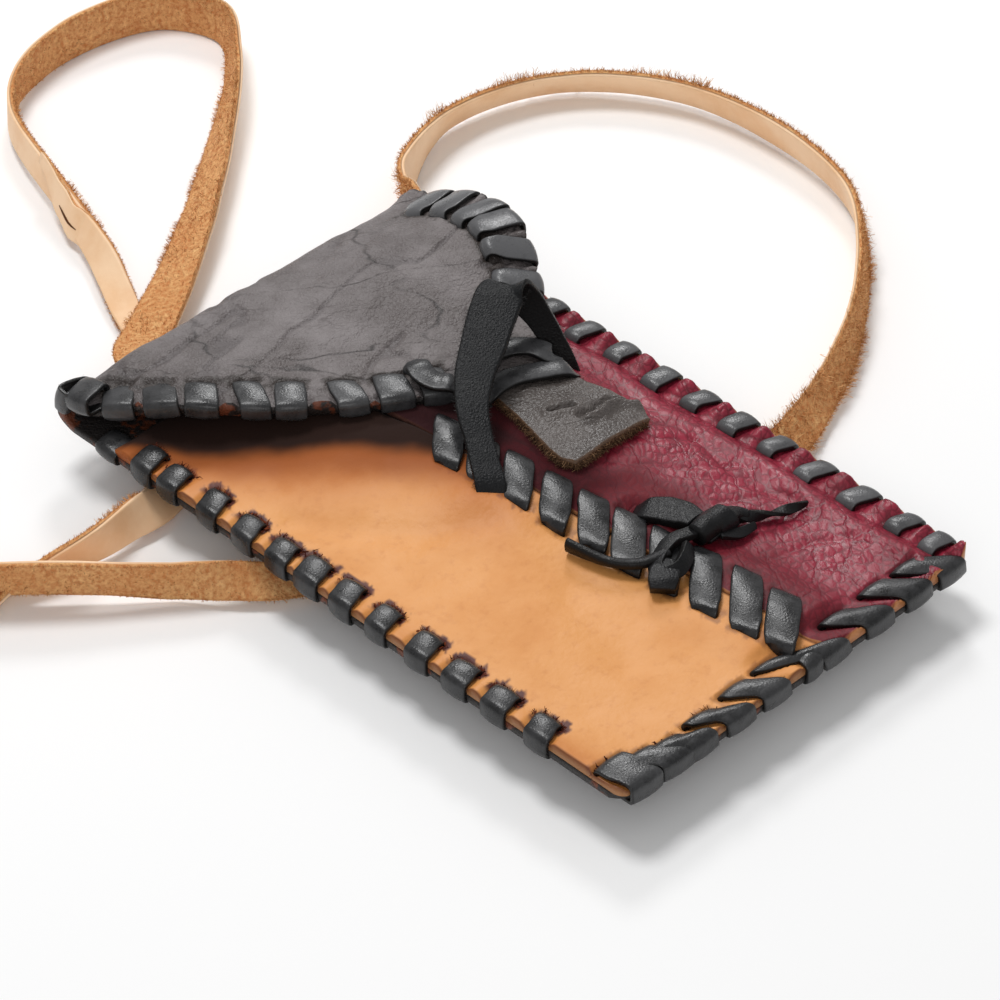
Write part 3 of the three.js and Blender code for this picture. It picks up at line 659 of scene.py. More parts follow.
def tan_panel():
    x, y, points, face = panel_grid(lambda y: -side_at(y), lambda y: seam_x(y) - SEAM_GAP / 2)
    left = slot_marks(face, left_stitches, fringe=1.7)
    bottom = slot_marks(face, bottom_row)
    seams = slot_marks(face, seam_row, True)
    torn = np.maximum(left[1], np.maximum(0.4 * bottom[1], 0.5 * seams[1]))
    marks = [np.max([left[0], bottom[0], seams[0]], 0), torn, np.maximum(left[2], bottom[2])]
    foot = np.hypot(x - LOOP_FOOT[0], y - LOOP_FOOT[1])
    relief = 1.3 * bell(foot, 9) + 0.8 * noise(points, 34, 2) * smooth(x + SIDE_X, 14)
    for depth, width, line in TAN_CREASES:
        relief = relief - depth * crease(points, line, width)
    # Painted shade under the flap's left edge: the tone grades to a deeper orange-brown, and the shade to
    # near black close to the edge. The tone is also deeper near the left edge and the loop's foot, and at
    # random.
    clear = beyond_flap(x, y)
    flap_shade = smooth(30 - clear, 18)
    edge = smooth(1 - (x + SIDE_X) / 8)
    tone = np.clip(0.9 * flap_shade + 0.35 * edge + 0.75 * bell(foot, 11)
                   + 0.3 * rough(points, 26, 4), 0, 1)
    puff = 0.6 * smooth(1 - (x + SIDE_X) / 6) + 0.6 * smooth(1 - (y - BOTTOM_Y) / 6)
    close = clear - 2 * rough(points, 9, 14)
    reach = lerp(9.5, 16.5, smooth(x + 26, 22))
    shade = 0.5 * smooth(reach + 13 - close, 15) + 0.48 * smooth(reach + 1 - close, 8)
    return finish_panel(
        "tan_panel_leather", "tan_front_panel", face, relief, marks, tone, shade, puff)


def burgundy_panel():
    x, y, points, face = panel_grid(lambda y: seam_x(y) + SEAM_GAP / 2, side_at)
    edges = slot_marks(face, right_stitches + bottom_row)
    seams = slot_marks(face, seam_row, True)
    marks = [np.maximum(edges[0], seams[0]), np.maximum(0.4 * edges[1], 0.5 * seams[1]), edges[2]]
    hole = np.hypot(x - TIE_HOLE[0], y - TIE_HOLE[1])
    ridge = bell(x - 39.5 - 0.7 * np.sin(y / 7), 3)
    valley = bell(x - 44, 2)
    relief = 1.6 * ridge - 0.5 * valley + 0.5 * rough(points, 14, 21) + 0.06 * rough(points, 3.2, 22)
    relief = relief + 0.9 * bell(hole - 5.5, 2.2) - 1.5 * bell(hole, 3.6)
    for line in BURGUNDY_CREASES:
        relief = relief - 0.3 * crease(points, line, 0.9) + 0.15 * crease(points + 1.9, line, 1.8)
    # Tone deepens the red round the tie's hole, towards the upper left, and at random. The deeper red on the
    # left, beside the seam and tongue, is painted shade.
    tone = np.clip(smooth(1 - (hole - 4) / 12) + 0.8 * smooth(y - 2, 18) * smooth(34 - x, 14)
                   + 0.8 * smooth(30 - x, 16) + 0.35 * rough(points, 12, 24), 0, 1)
    from_side = SIDE_X - x
    puff = 2 * smooth(1 - from_side / 7) * smooth(from_side / 1.4 + 0.35)
    puff = puff + 1.1 * smooth(1 - (y - BOTTOM_Y) / 7)
    # Painted shade, near black, under the flap's tip and beside the tongue
    flap_shade = 0.95 * smooth(20 - beyond_flap(x, y), 9) * smooth(14 - x, 8)
    tongue_shade = 0.72 * smooth(19 - x, 9) * smooth(y + 24, 10)
    shade = np.maximum(flap_shade, tongue_shade)
    return finish_panel(
        "burgundy_panel_leather", "burgundy_front_panel", face, relief, marks, tone,
        shade, puff)


# Back, fold, flap and tongue
SHEET_ROWS = ((0, 1, 40), (1, 2, 24), (2, 3, 160))  # from, to and rows along the back, fold and flap
TONGUE_ROWS = (3, 3.999, 84)
SHEET_COLUMNS = 150
TONGUE_SLIT = ((16, 3.4), (20.5, 1.2))
TONGUE_CURL = ((19.5, -2), (22.6, -2.6), (25.4, -1.6), (28.5, -2), (31, -4.5))


def back_and_flap():
    rows = [np.linspace(*reach, endpoint=False) for reach in SHEET_ROWS]
    s = np.concatenate([*rows, np.linspace(*TONGUE_ROWS)])[:, None]
    u, s = np.broadcast_arrays(np.linspace(0, 1, SHEET_COLUMNS)[None, :], s)
    outer, _, _, normal = sheet_frame(u, s)
    flat = outer[..., [0, 1]]
    x, y, _ = np.moveaxis(outer, -1, 0)
    hole, torn, pressed = slot_marks(outer, flap_left_row + flap_right_row)
    shown = smooth(s - 1.1, 0.4)
    before_tongue = smooth(3.05 - s, 0.1)
    across = np.linalg.norm(outer[:, -1:] - outer[:, :1], axis=-1)
    edge = smooth(1 - np.minimum(u, 1 - u) * across / 5.5) * before_tongue
    drawn = np.stack([0.34 * x + 0.1 * y, y - 0.2 * x], -1)
    wrinkle = smooth(1 - np.abs(rough(drawn, 9, 59)) / 0.11) * before_tongue
    hills = 0.5 * rough(flat, 18, 51) + 0.05 * rough(flat, 4, 52) + 0.36 * rough(drawn, 3.4, 60)
    relief = shown * (hills - 0.5 * wrinkle) + shown * (edge * (1 - pressed) - 0.25 * pressed - 0.6 * hole)
    thickness = LEATHER + 0.8 * edge * shown + 1.1 * smooth(s - 3.2, 0.3)
    on_tongue = s > 3.2
    slit = crease(flat, TONGUE_SLIT, 0.6) * on_tongue
    lips = crease(flat, TONGUE_SLIT, 2.2) * on_tongue
    curl = crease(flat, TONGUE_CURL, 0.8) * on_tongue
    worn = on_tongue * (0.3 * rough(flat, 7, 57) + 0.08 * np.abs(rough(flat, 2.6, 58)))
    lip = crease(flat - [0.4, -1.6], TONGUE_CURL, 1.4) * on_tongue
    relief = relief + worn + 1.1 * lips - 2.2 * slit - 1.5 * curl + 1.4 * lip
    upper = outer + normal * relief[..., None]
    lower = outer - normal * thickness[..., None] + normal * np.minimum(relief, 0)[..., None] * 0.4
    lower_left = smooth(1 - u * across / 16) * (s < 3.1)
    # Tone: painted shade in the tongue's slit and curl and along the wrinkles; also darker towards the left
    # edge, and at random
    dark = slit + curl * 0.8 + 0.3 * rough(flat, 22, 55) + 0.35 * lower_left + 0.45 * wrinkle
    values = {"tone": np.clip(dark, 0, 1), "gloss": smooth(s - 3.15, 0.2)}
    sheet = sheet_object(
        "charcoal_leather_sheet", "back_and_flap", upper, lower, 0.8 * torn, values)
    return sheet


# Lace bands
BAND = 0.85  # thickness of a band pulled tight
SEAT = 0.32  # height of its middle over the leather
CROWN = 0.9  # how much its face is rounded
BAND_STEP = 0.4


def whip_points(row):
    """Path of one stitch: up through the slot, over the edge and back underneath."""
    inset, thick = row.inset, row.thickness
    under = -thick - SEAT
    return [
        (inset + 0.1, under, 0), (inset + 0.35, -thick / 2, 0), (inset + 0.3, -0.25, 0),
        (inset - 0.3, SEAT, 0.04), (inset - 1.3, SEAT + 0.16, 0.15), (inset * 0.45, SEAT + 0.2, 0.55),
        (1, SEAT + 0.12, 0.88), (0.15, SEAT - 0.04, 0.97), (0.1 - SEAT, 0.02, 1),
        (-SEAT - 0.05, -thick / 2, 1.05), (0.1 - SEAT, -thick, 1.1), (0.2, under + 0.05, 1.12),
        (inset * 0.6, under, 1.15),
    ]


def crossing_points(row):
    """Path of one seam stitch: up through one panel and down through the other."""
    inset = row.inset
    rising = [
        (inset + 0.1, -row.thickness - SEAT, -0.5), (inset + 0.3, -0.7, -0.5), (inset + 0.1, 0.1, -0.5),
        (inset - 0.7, SEAT + 0.25, -0.43), (inset * 0.4, SEAT + 0.75, -0.18),
    ]
    falling = [(-inward, height, -slant) for inward, height, slant in reversed(rising)]
    return [*rising, (0, SEAT + 0.85, 0), *falling]


def band_path(points):
    return routed(points, 10, BAND_STEP)[0]


def stitch_path(row, shape):
    """Points of a stitch from its own shares inward, outward and along the slant."""
    inward, outward, slanted = np.array(shape, float).T[..., None]
    return row.origin + inward * row.inward + outward * row.normal + slanted * row.slant * row.tangent


fuzzy_edges = []


def lace_object(name, node, stitches, seed, worn, taper, points_of=whip_points, extra=()):
    """All bands of one lace, paler between two shares as wear and painted light; each is narrower at its
    slot by the taper.
    """
    pick = np.random.default_rng(seed)
    strips = []
    tones = []
    for row in stitches:
        path = band_path(stitch_path(row, points_of(row)))
        across = np.broadcast_to(np.cross(row.inward, row.normal), path.shape)
        across = unit(across + 0.05 * noise(path, 5, seed)[:, None])
        from_slot = walk(path) - row.thickness - SEAT
        if points_of is crossing_points:
            from_slot = np.minimum(from_slot, from_slot[::-1])
        tapered = row.width * lerp(taper, 1, smooth(from_slot, 3.5))
        widths = tapered * (1 + 0.03 * noise(path, 2.5, seed + 1))
        thickness = BAND * pick.uniform(0.9, 1.1)
        strips.append(strip(path, across, widths, thickness, section(CROWN), points_of is whip_points))
        tones.append(pick.uniform(*worn))
        fuzzy_edges.append((path, across, widths, 26, 0.7, seed))
    for points in extra:
        path = band_path(points)
        strips.append(strip(path, np.cross(UP, along_of(path)), WRAP_WIDTH, BAND, section(CROWN)))
        tones.append(pick.uniform(*worn))
    return strips_object(name, strips, tones, node)


WRAP_WIDTH = 5.4
# Height over the sheet and places on it of two turns of lace across the base of the tongue,
# and of the end that crosses the last stitches beside it
TONGUE_WRAPS = (
    (0.9, ((0, 3.24), (0.3, 3.27), (0.7, 3.35), (1, 3.42))),
    (0.9, ((0.24, 3.04), (0.5, 3.1), (0.76, 3.18), (1, 3.27))),
    (1.9, ((0.2, 2.82), (0.13, 2.87), (0.06, 2.93), (0, 2.99))),
)


def tongue_wraps():
    wraps = []
    for height, stops in TONGUE_WRAPS:
        points, _, _, normal = sheet_frame(*np.array(stops).T)
        first = points[:1] + [[-0.7, 0.2, -1.4]]
        last = points[-1:] + [[0.7, -0.2, -1.4]]
        wraps.append(np.concatenate([first, points + normal * height, last]))
    return wraps


# Closing loop: place and width
LOOP_ROUTE = [
    (-9.4, -5.2, 12, 5.6), (-9, -5, 15.5, 5.8), (-8, -3.6, 18.4, 6.3), (-5.4, 0.8, 20.6, 5.9),
    (-2.4, 5.6, 22.6, 5.7), (1, 10.8, 25, 6.6), (6.8, 16.2, 27.4, 8.2), (13.7, 20.4, 29.8, 9.6),
    (20, 24.2, 32, 10.2), (24.8, 26.4, 33.5, 10.4), (27.2, 26.4, 33.4, 9.2), (29.4, 24.8, 31.2, 7.4),
    (31.2, 22, 26.8, 5.8), (32.4, 18.6, 21.4, 5), (32.8, 15.2, 16.4, 4.8), (32.8, 13, 12, 4.8),
]
LOOP_ACROSS = (-0.71, 0.7, 0)


def closing_loop():
    rows = np.array(LOOP_ROUTE, float)
    path, widths = routed(rows[:, :3], 10, 0.5, rows[:, 3])
    across = np.broadcast_to(np.array(LOOP_ACROSS), path.shape)
    shape = strip(path, across, widths, LEATHER, section(0.25))
    fuzzy_edges.append((path, across, widths, 1100, 1.3, 7))
    return strips_object("closing_loop_strip", [shape], [0.4], "closing_loop")


# Knotted ends of the lace
def rope(rows, twist=0.0, flat=True):
    """A strip laid on the front by (x, y, height, width, thickness), turning by twist over its length."""
    rows = np.array(rows, float)
    heights = front_top(rows[:, 0], rows[:, 1]) + rows[:, 2]
    stations = np.column_stack([rows[:, :2], heights])
    path, widths, thicknesses = routed(stations, 12, 0.35, *rows[:, 3:].T)
    along = along_of(path)
    level = unit(np.cross(UP, along))
    angle = twist * np.linspace(0, 1, len(path))[:, None]
    across = level * np.cos(angle) + np.cross(along, level) * np.sin(angle)
    widths = widths * (1 + 0.06 * noise(path, 2, 13))
    return strip(path, across, widths, thicknesses, section(0.3) if flat else round_section())


def coil(centre, axis, radius, length, turns, width):
    """Lace wound round a knot."""
    axis = unit(np.array(axis, float))
    first = unit(np.cross(axis, UP))
    second = np.cross(axis, first)
    share = np.linspace(0, 1, int(30 * turns))[:, None]
    angle = share * turns * 2 * math.pi
    swell = radius * (0.85 + 0.15 * np.sin(share * math.pi))
    path = np.array(centre) + axis * (share - 0.5) * length
    path = path + swell * (first * np.cos(angle) + second * np.sin(angle) * 0.85)
    return strip(path, np.broadcast_to(axis, path.shape), width, 0.9, section(0.2))


def right_tie():
    """A suede leaf, a wound barrel and a twisted tail on the burgundy panel."""
    barrel = (16.8, -42.6, front_top(16.8, -42.6) + 3)
    return [
        rope([(9.4, -27.4, -0.6, 4, 1), (10.6, -29.6, 1, 6.2, 1.6), (12.8, -32.4, 1.5, 7.6, 1.8),
              (14.4, -36, 1.9, 7, 1.9), (14.6, -39.4, 2.3, 5, 2)]),
        rope([(11, -42.8, 2.6, 4.6, 4.6), (14, -42.7, 3, 5.6, 5.4), (19, -42.7, 3, 5.4, 5),
              (22.6, -43, 2.4, 3.4, 3.2), (24.6, -44.2, 2, 2.4, 2)], flat=False),
        coil(barrel, (1, -0.05, 0.02), 2.9, 3.6, 1.15, 4.8),
        rope([(22, -43, 2.2, 2.4, 2.2), (24.8, -44.8, 1.8, 2.6, 1.1), (28.4, -46.8, 1.5, 2.2, 0.9),
              (32, -48.3, 1.6, 2.4, 0.8), (36.6, -49.6, 1.8, 1.3, 0.6)], 5),
        rope([(15, -45.4, 2.4, 2.2, 0.9), (19.5, -46.6, 1.6, 2.4, 0.9), (24, -46.8, 1.2, 1.6, 0.8)], 1),
    ]


def left_tie():
    """The other end: a ring through the seam, a smooth lobe and a thick tail on the tan panel."""
    return [
        rope([(12.6, -42, 2.6, 3, 1.2), (10, -41.6, 2.8, 3.2, 1.3), (6.3, -40.8, 2.9, 3.2, 1.3),
              (1.9, -41.9, 2.7, 3.2, 1.3), (-1.8, -44, 2.4, 3.4, 1.4), (-2.4, -46.4, 2.4, 3.6, 1.4),
              (0.4, -47.6, 2.8, 3.4, 1.4), (3.8, -46.6, 3.2, 3, 1.3), (7.2, -44.2, 3, 2.8, 1.2)], 0.9),
        rope([(1.6, -44.4, 2.2, 4, 1.6), (-1.6, -46.2, 2.4, 6, 2.2), (-3.8, -47.8, 2.2, 6.4, 2.6),
              (-5.2, -49, 1.6, 5, 2)]),
        rope([(3, -42.6, 2.8, 2.8, 2), (-0.6, -41.9, 2.6, 3, 2.1), (-3.2, -40.4, 2.2, 3.2, 2.2),
              (-6.4, -36.2, 1.7, 3.5, 2.2), (-8, -30.8, 1.5, 3.8, 2.2), (-8.9, -26.2, 1.4, 3.6, 2)],
             1.4, flat=False),
    ]


def tie(name, node, strips):
    return strips_object(name, strips, np.linspace(0.1, 0.5, len(strips)), node)


# Loose fibres: roots, directions, lengths and widths
def slot_fibres(stitches, count, seed):
    """Torn leather round the slots."""
    pick = np.random.default_rng(seed)
    roots, ways = [], []
    for row in stitches:
        beside = pick.uniform(-0.62, 0.62, count) * row.width
        past_end = np.abs(beside) >= row.width / 2
        over, under = pick.uniform(0.1, 0.7, count), pick.uniform(-1.8, 0.6, count)
        deep = row.inset + np.where(past_end, under, over)
        place = row.origin + row.tangent * beside[:, None] + row.inward * deep[:, None]
        place[:, 2] = front_top(place[:, 0], place[:, 1]) + 0.15
        side = np.sign(beside) * past_end
        ways.append(row.inward * pick.uniform(0.2, 1, count)[:, None] + row.tangent * side[:, None]
                    + UP * pick.uniform(0.05, 0.5, count)[:, None] + pick.normal(0, 0.35, (count, 3)))
        roots.append(place)
    roots, ways = np.concatenate(roots), np.concatenate(ways)
    clump = 0.35 + 0.65 * (noise(roots, 1.6, seed) > 0)
    return roots, ways, pick.uniform(0.4, 1.7, len(roots)) * clump, pick.uniform(0.2, 0.5, len(roots))


def edge_fibres(path, across, widths, count, reach, seed):
    """Fuzz along both edges of a strip."""
    pick = np.random.default_rng(seed)
    at = pick.integers(2, len(path) - 2, count)
    side = np.sign(pick.normal(size=count))
    aside = unit(np.broadcast_to(across, path.shape)[at]) * side[:, None]
    half = np.asarray(widths)[at] / 2 - 0.1
    roots = path[at] + aside * half[:, None] + pick.normal(0, 0.12, (count, 3))
    ways = aside + pick.normal(0, 0.7, (count, 3))
    return roots, ways, pick.uniform(0.3, 1, count) * reach, pick.uniform(0.06, 0.16, count)


TONGUE_FIBRES = 2600
TONGUE_RIM = 3.995
STRAP_FIBRES = 48000
LONG_FUZZ = 0.4  # share of the strap from its first end with longer fuzz


def tongue_fibres(seed):
    """Flesh fibres round the cut edge of the tongue."""
    pick = np.random.default_rng(seed)
    count = TONGUE_FIBRES
    s = pick.uniform(3.3, TONGUE_RIM, count)
    u = np.where(pick.random(count) < 0.5, 0.0, 1.0)
    ends = pick.random(count) < 0.4
    u = np.where(ends, pick.random(count), u)
    s = np.where(ends, TONGUE_RIM, s)
    points, along, across, normal = sheet_frame(u, s)
    outward = np.where(ends[:, None], along, across * np.where(u > 0.5, 1, -1)[:, None])
    roots = points - normal * pick.uniform(0.5, 2.6, count)[:, None]
    ways = outward - normal * 0.3 + pick.normal(0, 0.5, (count, 3))
    return roots, ways, pick.uniform(0.4, 1.6, count), pick.uniform(0.08, 0.22, count)


def strap_fibres(seed):
    """Fuzz on the edges and the suede face of the strap, rising where it is near the floor."""
    centres, across, out = strap_stations()
    pick = np.random.default_rng(seed)
    count = STRAP_FIBRES
    at = pick.integers(4, len(centres) - 4, count)
    on_edge = pick.random(count) < 0.5
    side = np.where(on_edge, np.sign(pick.normal(size=count)) * 0.97, pick.uniform(-1, 1, count))
    depth = np.where(on_edge, pick.uniform(-0.95, -0.4, count), -0.85)
    shift = along_of(centres)[at] * pick.uniform(-0.8, 0.8, count)[:, None]
    aside = across[at] * (side * strap_widths(centres)[at] / 2)[:, None]
    roots = centres[at] + shift + aside + out[at] * depth[:, None] * STRAP_THICKNESS / 2
    outward = across[at] * side[:, None] - out[at] * 0.7 + pick.normal(0, 0.5, (count, 3))
    napped = pick.normal(0, 1, (count, 3)) - out[at] * 0.9
    ways = np.where(on_edge[:, None], outward, napped)
    keep = roots[:, 2] > 0.8
    clump = 0.6 + 0.7 * (noise(roots, 12, 8) > 0.1)
    lengths = pick.uniform(0.3, 1.3, count) * clump * np.where(at < len(centres) * LONG_FUZZ, 1.7, 1)
    ways[:, 2] = np.where(roots[:, 2] < 3.4, np.abs(ways[:, 2]), ways[:, 2])
    return roots[keep], ways[keep], lengths[keep], pick.uniform(0.1, 0.26, count)[keep]


# Materials
class Look:
    """A procedural material built up node by node on the object's own coordinates.

    An input is a socket, a plain value, or the name of a value that the mesh carries."""

    def __init__(self, name):
        self.material = bpy.data.materials.new(name)
        self.material.use_nodes = True
        self.tree = self.material.node_tree
        self.shader = self.tree.nodes["Principled BSDF"]
        self.place = self.node("TexCoord", "Object")

    def feed(self, node, inputs):
        for key, value in inputs.items():
            if isinstance(value, str):
                value = self.node("Attribute", "Fac", attribute_name=value)
            if isinstance(value, bpy.types.NodeSocket):
                self.tree.links.new(value, node.inputs[key])
            else:
                node.inputs[key].default_value = value

    def node(self, kind, output, inputs=None, **settings):
        """One output of a new node."""
        made = self.tree.nodes.new("ShaderNode" + kind)
        for key, value in settings.items():
            setattr(made, key, value)
        self.feed(made, inputs or {})
        return made.outputs[output]

    def stretched(self, scale, turn):
        """Coordinates turned first and then drawn out."""
        turned = self.node("Mapping", "Vector", {"Vector": self.place, "Rotation": (0, 0, turn)})
        return self.node("Mapping", "Vector", {"Vector": turned, "Scale": scale})

    def noise(self, scale, detail=4, roughness=0.55, distortion=0.0, place=None):
        return self.node("TexNoise", "Fac", {
            "Vector": place or self.place, "Scale": scale, "Detail": detail, "Roughness": roughness,
            "Distortion": distortion})

    def cells(self, scale, warp, place=None):
        """Distance to the borders of leather cells, with wandering borders."""
        place = place or self.place
        wander = self.node("TexNoise", "Color", {"Vector": place, "Scale": scale * 1.4, "Detail": 3})
        moved = self.node("Mix", 1, {0: warp / scale, 4: place, 5: wander}, data_type="VECTOR")
        inputs = {"Vector": moved, "Scale": scale}
        return self.node("TexVoronoi", "Distance", inputs, feature="DISTANCE_TO_EDGE")

    def between(self, value, low, high, to_low=0.0, to_high=1.0):
        return self.node("MapRange", "Result", {
            "Value": value, "From Min": low, "From Max": high, "To Min": to_low, "To Max": to_high},
            interpolation_type="SMOOTHSTEP")

    def combine(self, operation, *values):
        """Values put together by a math node; sums are kept between 0 and 1."""
        inputs = dict(enumerate(values))
        return self.node("Math", 0, inputs, operation=operation, use_clamp=operation == "ADD")

    def sum(self, a, b):
        return self.combine("ADD", a, b)

    def times(self, a, b):
        return self.combine("MULTIPLY", a, b)

    def mix(self, share, a, b):
        a, b = ((*colour, 1) if isinstance(colour, tuple) else colour for colour in (a, b))
        return self.node("Mix", 2, {0: share, 6: a, 7: b}, data_type="RGBA")

    def layered(self, colour, *layers):
        """A colour with others laid over it, each by its share."""
        for share, over in layers:
            colour = self.mix(share, colour, over)
        return colour

    def bumps(self, *layers):
        """Each layer is a height, its depth in metres and its strength."""
        normal = None
        for height, depth, strength in layers:
            inputs = {"Height": height, "Distance": depth, "Strength": strength}
            if normal:
                inputs["Normal"] = normal
            normal = self.node("Bump", "Normal", inputs)
        self.feed(self.shader, {"Normal": normal})

    def finish(self, colour, roughness, specular):
        self.feed(self.shader, {
            "Base Color": colour, "Roughness": roughness, "Specular IOR Level": specular})
        return self.material


def tan_leather():
    look = Look("tan_leather")
    blotch = look.noise(45, 5, 0.6)
    fine = look.noise(420, 4, 0.6)
    colour = look.layered(
        (0.765, 0.338, 0.097),
        (look.sum("tone", look.between(blotch, 0.42, 0.75, 0, 0.35)), (0.55, 0.175, 0.028)),
        (look.between(fine, 0.5, 0.75, 0, 0.25), (0.50, 0.16, 0.03)),
        (look.times("rim", 0.9), (0.13, 0.035, 0.012)),
        ("flesh", (0.42, 0.19, 0.07)),
        ("torn", look.mix(fine, (0.035, 0.008, 0.006), (0.14, 0.022, 0.01))),
        # Painted shade under the flap: a saturated brown, then near black
        (look.between("shade", 0, 0.5), (0.33, 0.085, 0.013)),
        (look.between("shade", 0.45, 0.95), (0.018, 0.005, 0.002)),
    )
    look.bumps((look.noise(900, 3), 0.0002, 0.35), (look.cells(520, 0.3), 0.0002, 0.25))
    roughness = look.sum(look.between(blotch, 0.3, 0.7, 0.46, 0.6), look.times("shade", 0.55))
    return look.finish(colour, roughness, 0.4)


def burgundy_leather():
    look = Look("burgundy_leather")
    drawn = look.stretched((1, 0.5, 1), 0.6)
    pebble = look.cells(560, 0.6, look.stretched((1, 0.7, 1), 0.6))
    fold = look.cells(120, 1.0, drawn)
    blotch = look.noise(70, 5, 0.6)
    wrinkle = look.noise(330, 7, 0.68, 0.6, drawn)
    colour = look.layered(
        (0.31, 0.022, 0.047),
        # The tone's deeper red is in part painted shade on the left of the panel
        (look.sum("tone", look.between(blotch, 0.4, 0.7, 0, 0.3)), (0.14, 0.003, 0.01)),
        (look.between(fold, 0, 0.04, 0.35, 0), (0.07, 0.003, 0.009)),
        (look.between(pebble, 0, 0.16, 0.6, 0), (0.10, 0.004, 0.012)),
        (look.between(wrinkle, 0.3, 0.48, 0.45, 0), (0.09, 0.003, 0.01)),
        ("rim", (0.5, 0.2, 0.07)),
        ("flesh", (0.46, 0.19, 0.08)),
        ("torn", (0.05, 0.004, 0.006)),
        # Painted shade, near black, under the flap's tip and beside the tongue
        ("shade", (0.02, 0.003, 0.004)),
    )
    look.bumps((look.between(fold, 0, 0.06), 0.00016, 0.5), (look.between(pebble, 0, 0.4), 0.00015, 0.5),
               (wrinkle, 0.00012, 0.4))
    dull = look.sum(look.times("tone", 0.3), look.times("shade", 0.5))
    return look.finish(colour, look.sum(look.between(blotch, 0.3, 0.7, 0.32, 0.42), dull), 0.36)


def charcoal_leather():
    look = Look("charcoal_leather")
    drawn = look.stretched((0.45, 1, 0.7), 0.78)
    crack = look.cells(52, 0.7, drawn)
    small = look.cells(170, 1.2, drawn)
    grain = look.cells(1100, 0.5)
    blotch = look.noise(60, 5, 0.6)
    broken = look.between(look.noise(75, 4, 0.6), 0.38, 0.6)
    lines = look.times(look.between(crack, 0, 0.02, 1, 0), broken)
    patches = look.between(look.noise(50, 4, 0.6), 0.45, 0.65)
    tongue = look.mix(blotch, (0.042, 0.035, 0.031), (0.15, 0.127, 0.117))
    brown = look.mix(look.noise(700, 4), (0.06, 0.032, 0.018), (0.2, 0.11, 0.06))
    bits = look.mix(look.between(look.noise(220, 3), 0.55, 0.63), (0.022, 0.018, 0.017), (0.15, 0.04, 0.016))
    colour = look.layered(
        (0.10, 0.083, 0.08),
        (look.between(blotch, 0.3, 0.75), (0.22, 0.196, 0.196)),
        # Tone darkens, in part as painted shade in the tongue's grooves and the flap's wrinkles
        (look.times("tone", 0.7), (0.05, 0.042, 0.045)),
        (look.times(lines, 0.9), (0.03, 0.024, 0.023)),
        (look.times(look.between(small, 0, 0.05, 0.6, 0), patches), (0.07, 0.056, 0.054)),
        ("gloss", tongue),
        (look.sum("rim", "flesh"), look.mix("gloss", bits, brown)),
        ("torn", (0.035, 0.026, 0.022)),
    )
    wavy = look.noise(130, 6, 0.62, 0.8, look.stretched((0.4, 1, 0.7), 0.78))
    look.bumps((look.between(crack, 0, 0.025), 0.0002, 0.5), (look.between(small, 0, 0.1), 0.00008, 0.5),
               (grain, 0.0006, 0.5), (wavy, 0.0022, 0.5))
    plain = look.between(blotch, 0.3, 0.7, 0.46, 0.6)
    return look.finish(colour, look.combine("SUBTRACT", plain, look.times("gloss", 0.15)), 0.45)


def lace_leather(name, dark, light, roughness, grain_depth, shine):
    look = Look(name)
    scuff = look.noise(300, 6, 0.7)
    streak = look.noise(900, 4, 0.6)
    share = look.sum(look.between(scuff, 0.32, 0.7, 0, 0.28), look.times("tone", 0.6))
    sides = look.combine("ABSOLUTE", "side")
    cut = look.sum(look.between("face", 0.3, 0.95, 0.9, 0), look.between(sides, 0.9, 0.985, 0, 0.7))
    colour = look.layered(dark, (share, light), (cut, (0.008, 0.0075, 0.0075)))
    look.bumps((look.cells(1500, 0.5), grain_depth, 0.3), (streak, 0.00006, 0.35))
    return look.finish(colour, look.between(scuff, 0.3, 0.7, roughness - 0.04, roughness + 0.06), shine)


def strap_leather():
    look = Look("strap_leather")
    blotch = look.noise(60, 5, 0.6)
    nap = look.noise(900, 5, 0.7)
    pores = look.noise(420, 4, 0.6)
    skin = look.mix(look.between(blotch, 0.35, 0.7), (0.95, 0.66, 0.42), (0.86, 0.53, 0.29))
    suede = look.layered(
        (0.66, 0.23, 0.07),
        (look.between(nap, 0.3, 0.7), (1.0, 0.595, 0.255)),
        (look.between(blotch, 0.4, 0.75, 0, 0.5), (0.72, 0.275, 0.083)),
    )
    flesh = look.between("face", -0.1, 0.45, 1, 0)
    look.bumps((look.times(nap, flesh), 0.0012, 0.9), (pores, 0.0003, 0.3))
    return look.finish(look.mix(flesh, skin, suede), look.between(flesh, 0, 1, 0.5, 0.95), 0.35)


def fibre_leather(name, dark, light):
    look = Look(name)
    share = look.times("tone", look.noise(500, 2))
    return look.finish(look.mix(look.between(share, 0, 0.6), dark, light), 0.9, 0.2)


def floor_white():
    look = Look("pale_floor")
    return look.finish(look.mix(look.noise(6, 3), (0.97, 0.97, 0.97), (0.985, 0.985, 0.985)), 0.85, 0.1)


def wear(piece, material):
    piece.data.materials.append(material)


# Floor and light
FLOOR_HALF = 3000
WORLD_STRENGTH = 0.4
# Name, place and size in metres, and power in watts
LAMPS = (
    ("key", (0.05, 0.46, 1.14), 0.4, 6.8),
    ("back", (0.68, 0.69, 0.8), 0.28, 3.7),
    ("front", (-0.75, -0.7, 0.75), 0.6, 2.2),
)


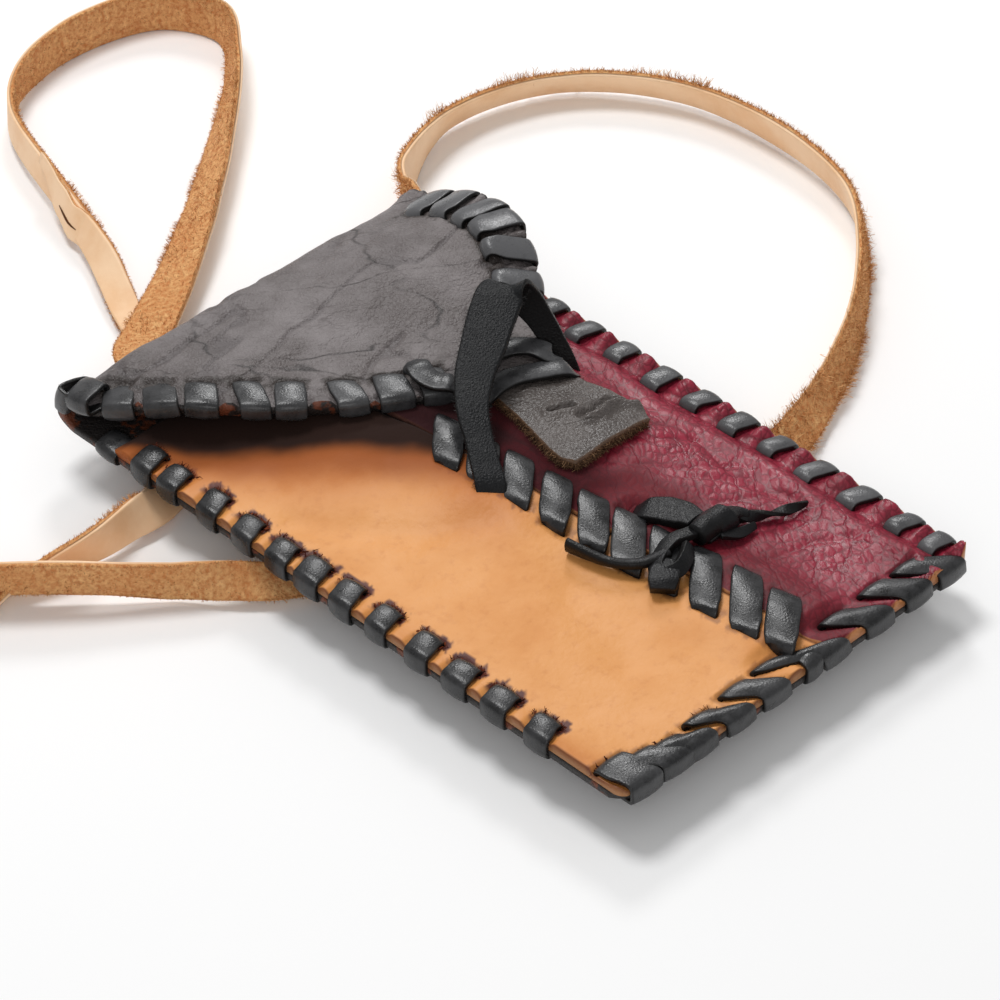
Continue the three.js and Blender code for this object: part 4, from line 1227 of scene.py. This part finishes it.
def make_stage():
    corners = [(x * FLOOR_HALF, y * FLOOR_HALF, 0) for x, y in ((-1, -1), (1, -1), (1, 1), (-1, 1))]
    floor = make_object("floor", corners, [(0, 1, 2, 3)])
    wear(floor, floor_white())
    world = bpy.data.worlds.new("studio")
    bpy.context.scene.world = world
    world.use_nodes = True
    world.node_tree.nodes["Background"].inputs["Color"].default_value = (1, 1, 1, 1)
    world.node_tree.nodes["Background"].inputs["Strength"].default_value = WORLD_STRENGTH
    for name, place, size, power in LAMPS:
        data = bpy.data.lights.new(name, "AREA")
        data.shape = "DISK"
        data.size = size
        data.energy = power
        light = bpy.data.objects.new(name, data)
        light.location = place
        light.rotation_euler = (-Vector(place)).to_track_quat("-Z", "Y").to_euler()
        bpy.context.collection.objects.link(light)
    bpy.context.scene.view_settings.view_transform = "Standard"


def dress_leather():
    undyed = strap_leather()
    wear(strap, undyed)
    wear(splice_tab, undyed)
    wear(splice_slit, fibre_leather("slit_shadow", (0.09, 0.03, 0.01), (0.3, 0.12, 0.04)))
    wear(tan_panel(), tan_leather())
    wear(burgundy_panel(), burgundy_leather())
    wear(back_and_flap(), charcoal_leather())


def dress_lace():
    satin = lace_leather("black_lace", (0.005, 0.005, 0.0055), (0.1, 0.1, 0.104), 0.29, 0.00016, 0.36)
    knotted = lace_leather("black_tie", (0.004, 0.004, 0.0045), (0.022, 0.022, 0.024), 0.36, 0.0004, 0.2)
    matt = lace_leather("black_leather", (0.003, 0.0033, 0.0036), (0.016, 0.017, 0.019), 0.42, 0.0007, 0.16)
    # Tone ranges are wear and painted light: the right edge and the flap's right bands are painted paler as
    # sheen, the seam bands darker as shade
    laces = (
        ("left_lace_bands", "left_edge_lace", left_stitches, 61, (0, 0.14), 0.9),
        ("right_lace_bands", "right_edge_lace", right_stitches, 62, (0.9, 1.3), 0.9),
        ("bottom_lace_bands", "bottom_edge_lace", bottom_row, 63, (0.05, 0.32), 0.9),
        ("flap_left_bands", "flap_left_lace", flap_left_row, 65, (0.25, 0.65), 0.9, whip_points,
         tongue_wraps()),
        ("flap_right_bands", "flap_right_lace", flap_right_row, 66, (1.1, 1.5), 0.7),
        ("seam_lace_bands", "seam_lace", seam_row, 64, (0, 0.08), 0.85, crossing_points),
    )
    for lace in laces:
        wear(lace_object(*lace), satin)
    wear(closing_loop(), matt)
    wear(tie("right_lace_knot", "right_lace_tie", right_tie()), knotted)
    wear(tie("left_lace_knot", "left_lace_tie", left_tie()), knotted)


def dress_fibres():
    slots = [slot_fibres(left_stitches[:-1], 64, 71), slot_fibres(bottom_row[:4], 20, 72)]
    fuzz = (
        ("lace_fibres", "black_lace", [edge_fibres(*edge) for edge in fuzzy_edges], 91,
         "lace_fuzz", (0.006, 0.006, 0.006), (0.09, 0.088, 0.088)),
        ("tongue_fibres", "charcoal_leather", [tongue_fibres(92)], 93,
         "tongue_fuzz", (0.06, 0.03, 0.016), (0.3, 0.17, 0.09)),
        ("tan_slot_fibres", "tan_leather", slots, 73,
         "torn_tan", (0.05, 0.008, 0.005), (0.26, 0.06, 0.02)),
        ("strap_fibres", "strap_leather", [strap_fibres(81)], 82,
         "strap_fuzz", (0.44, 0.18, 0.055), (0.86, 0.52, 0.24)),
    )
    for name, slot, parts, seed, *look in fuzz:
        joined = [np.concatenate(rows) for rows in zip(*parts)]
        wear(part_of(fibres_object(name, *joined, seed)), fibre_leather(*look))


dress_leather()
dress_lace()
dress_fibres()
make_stage()
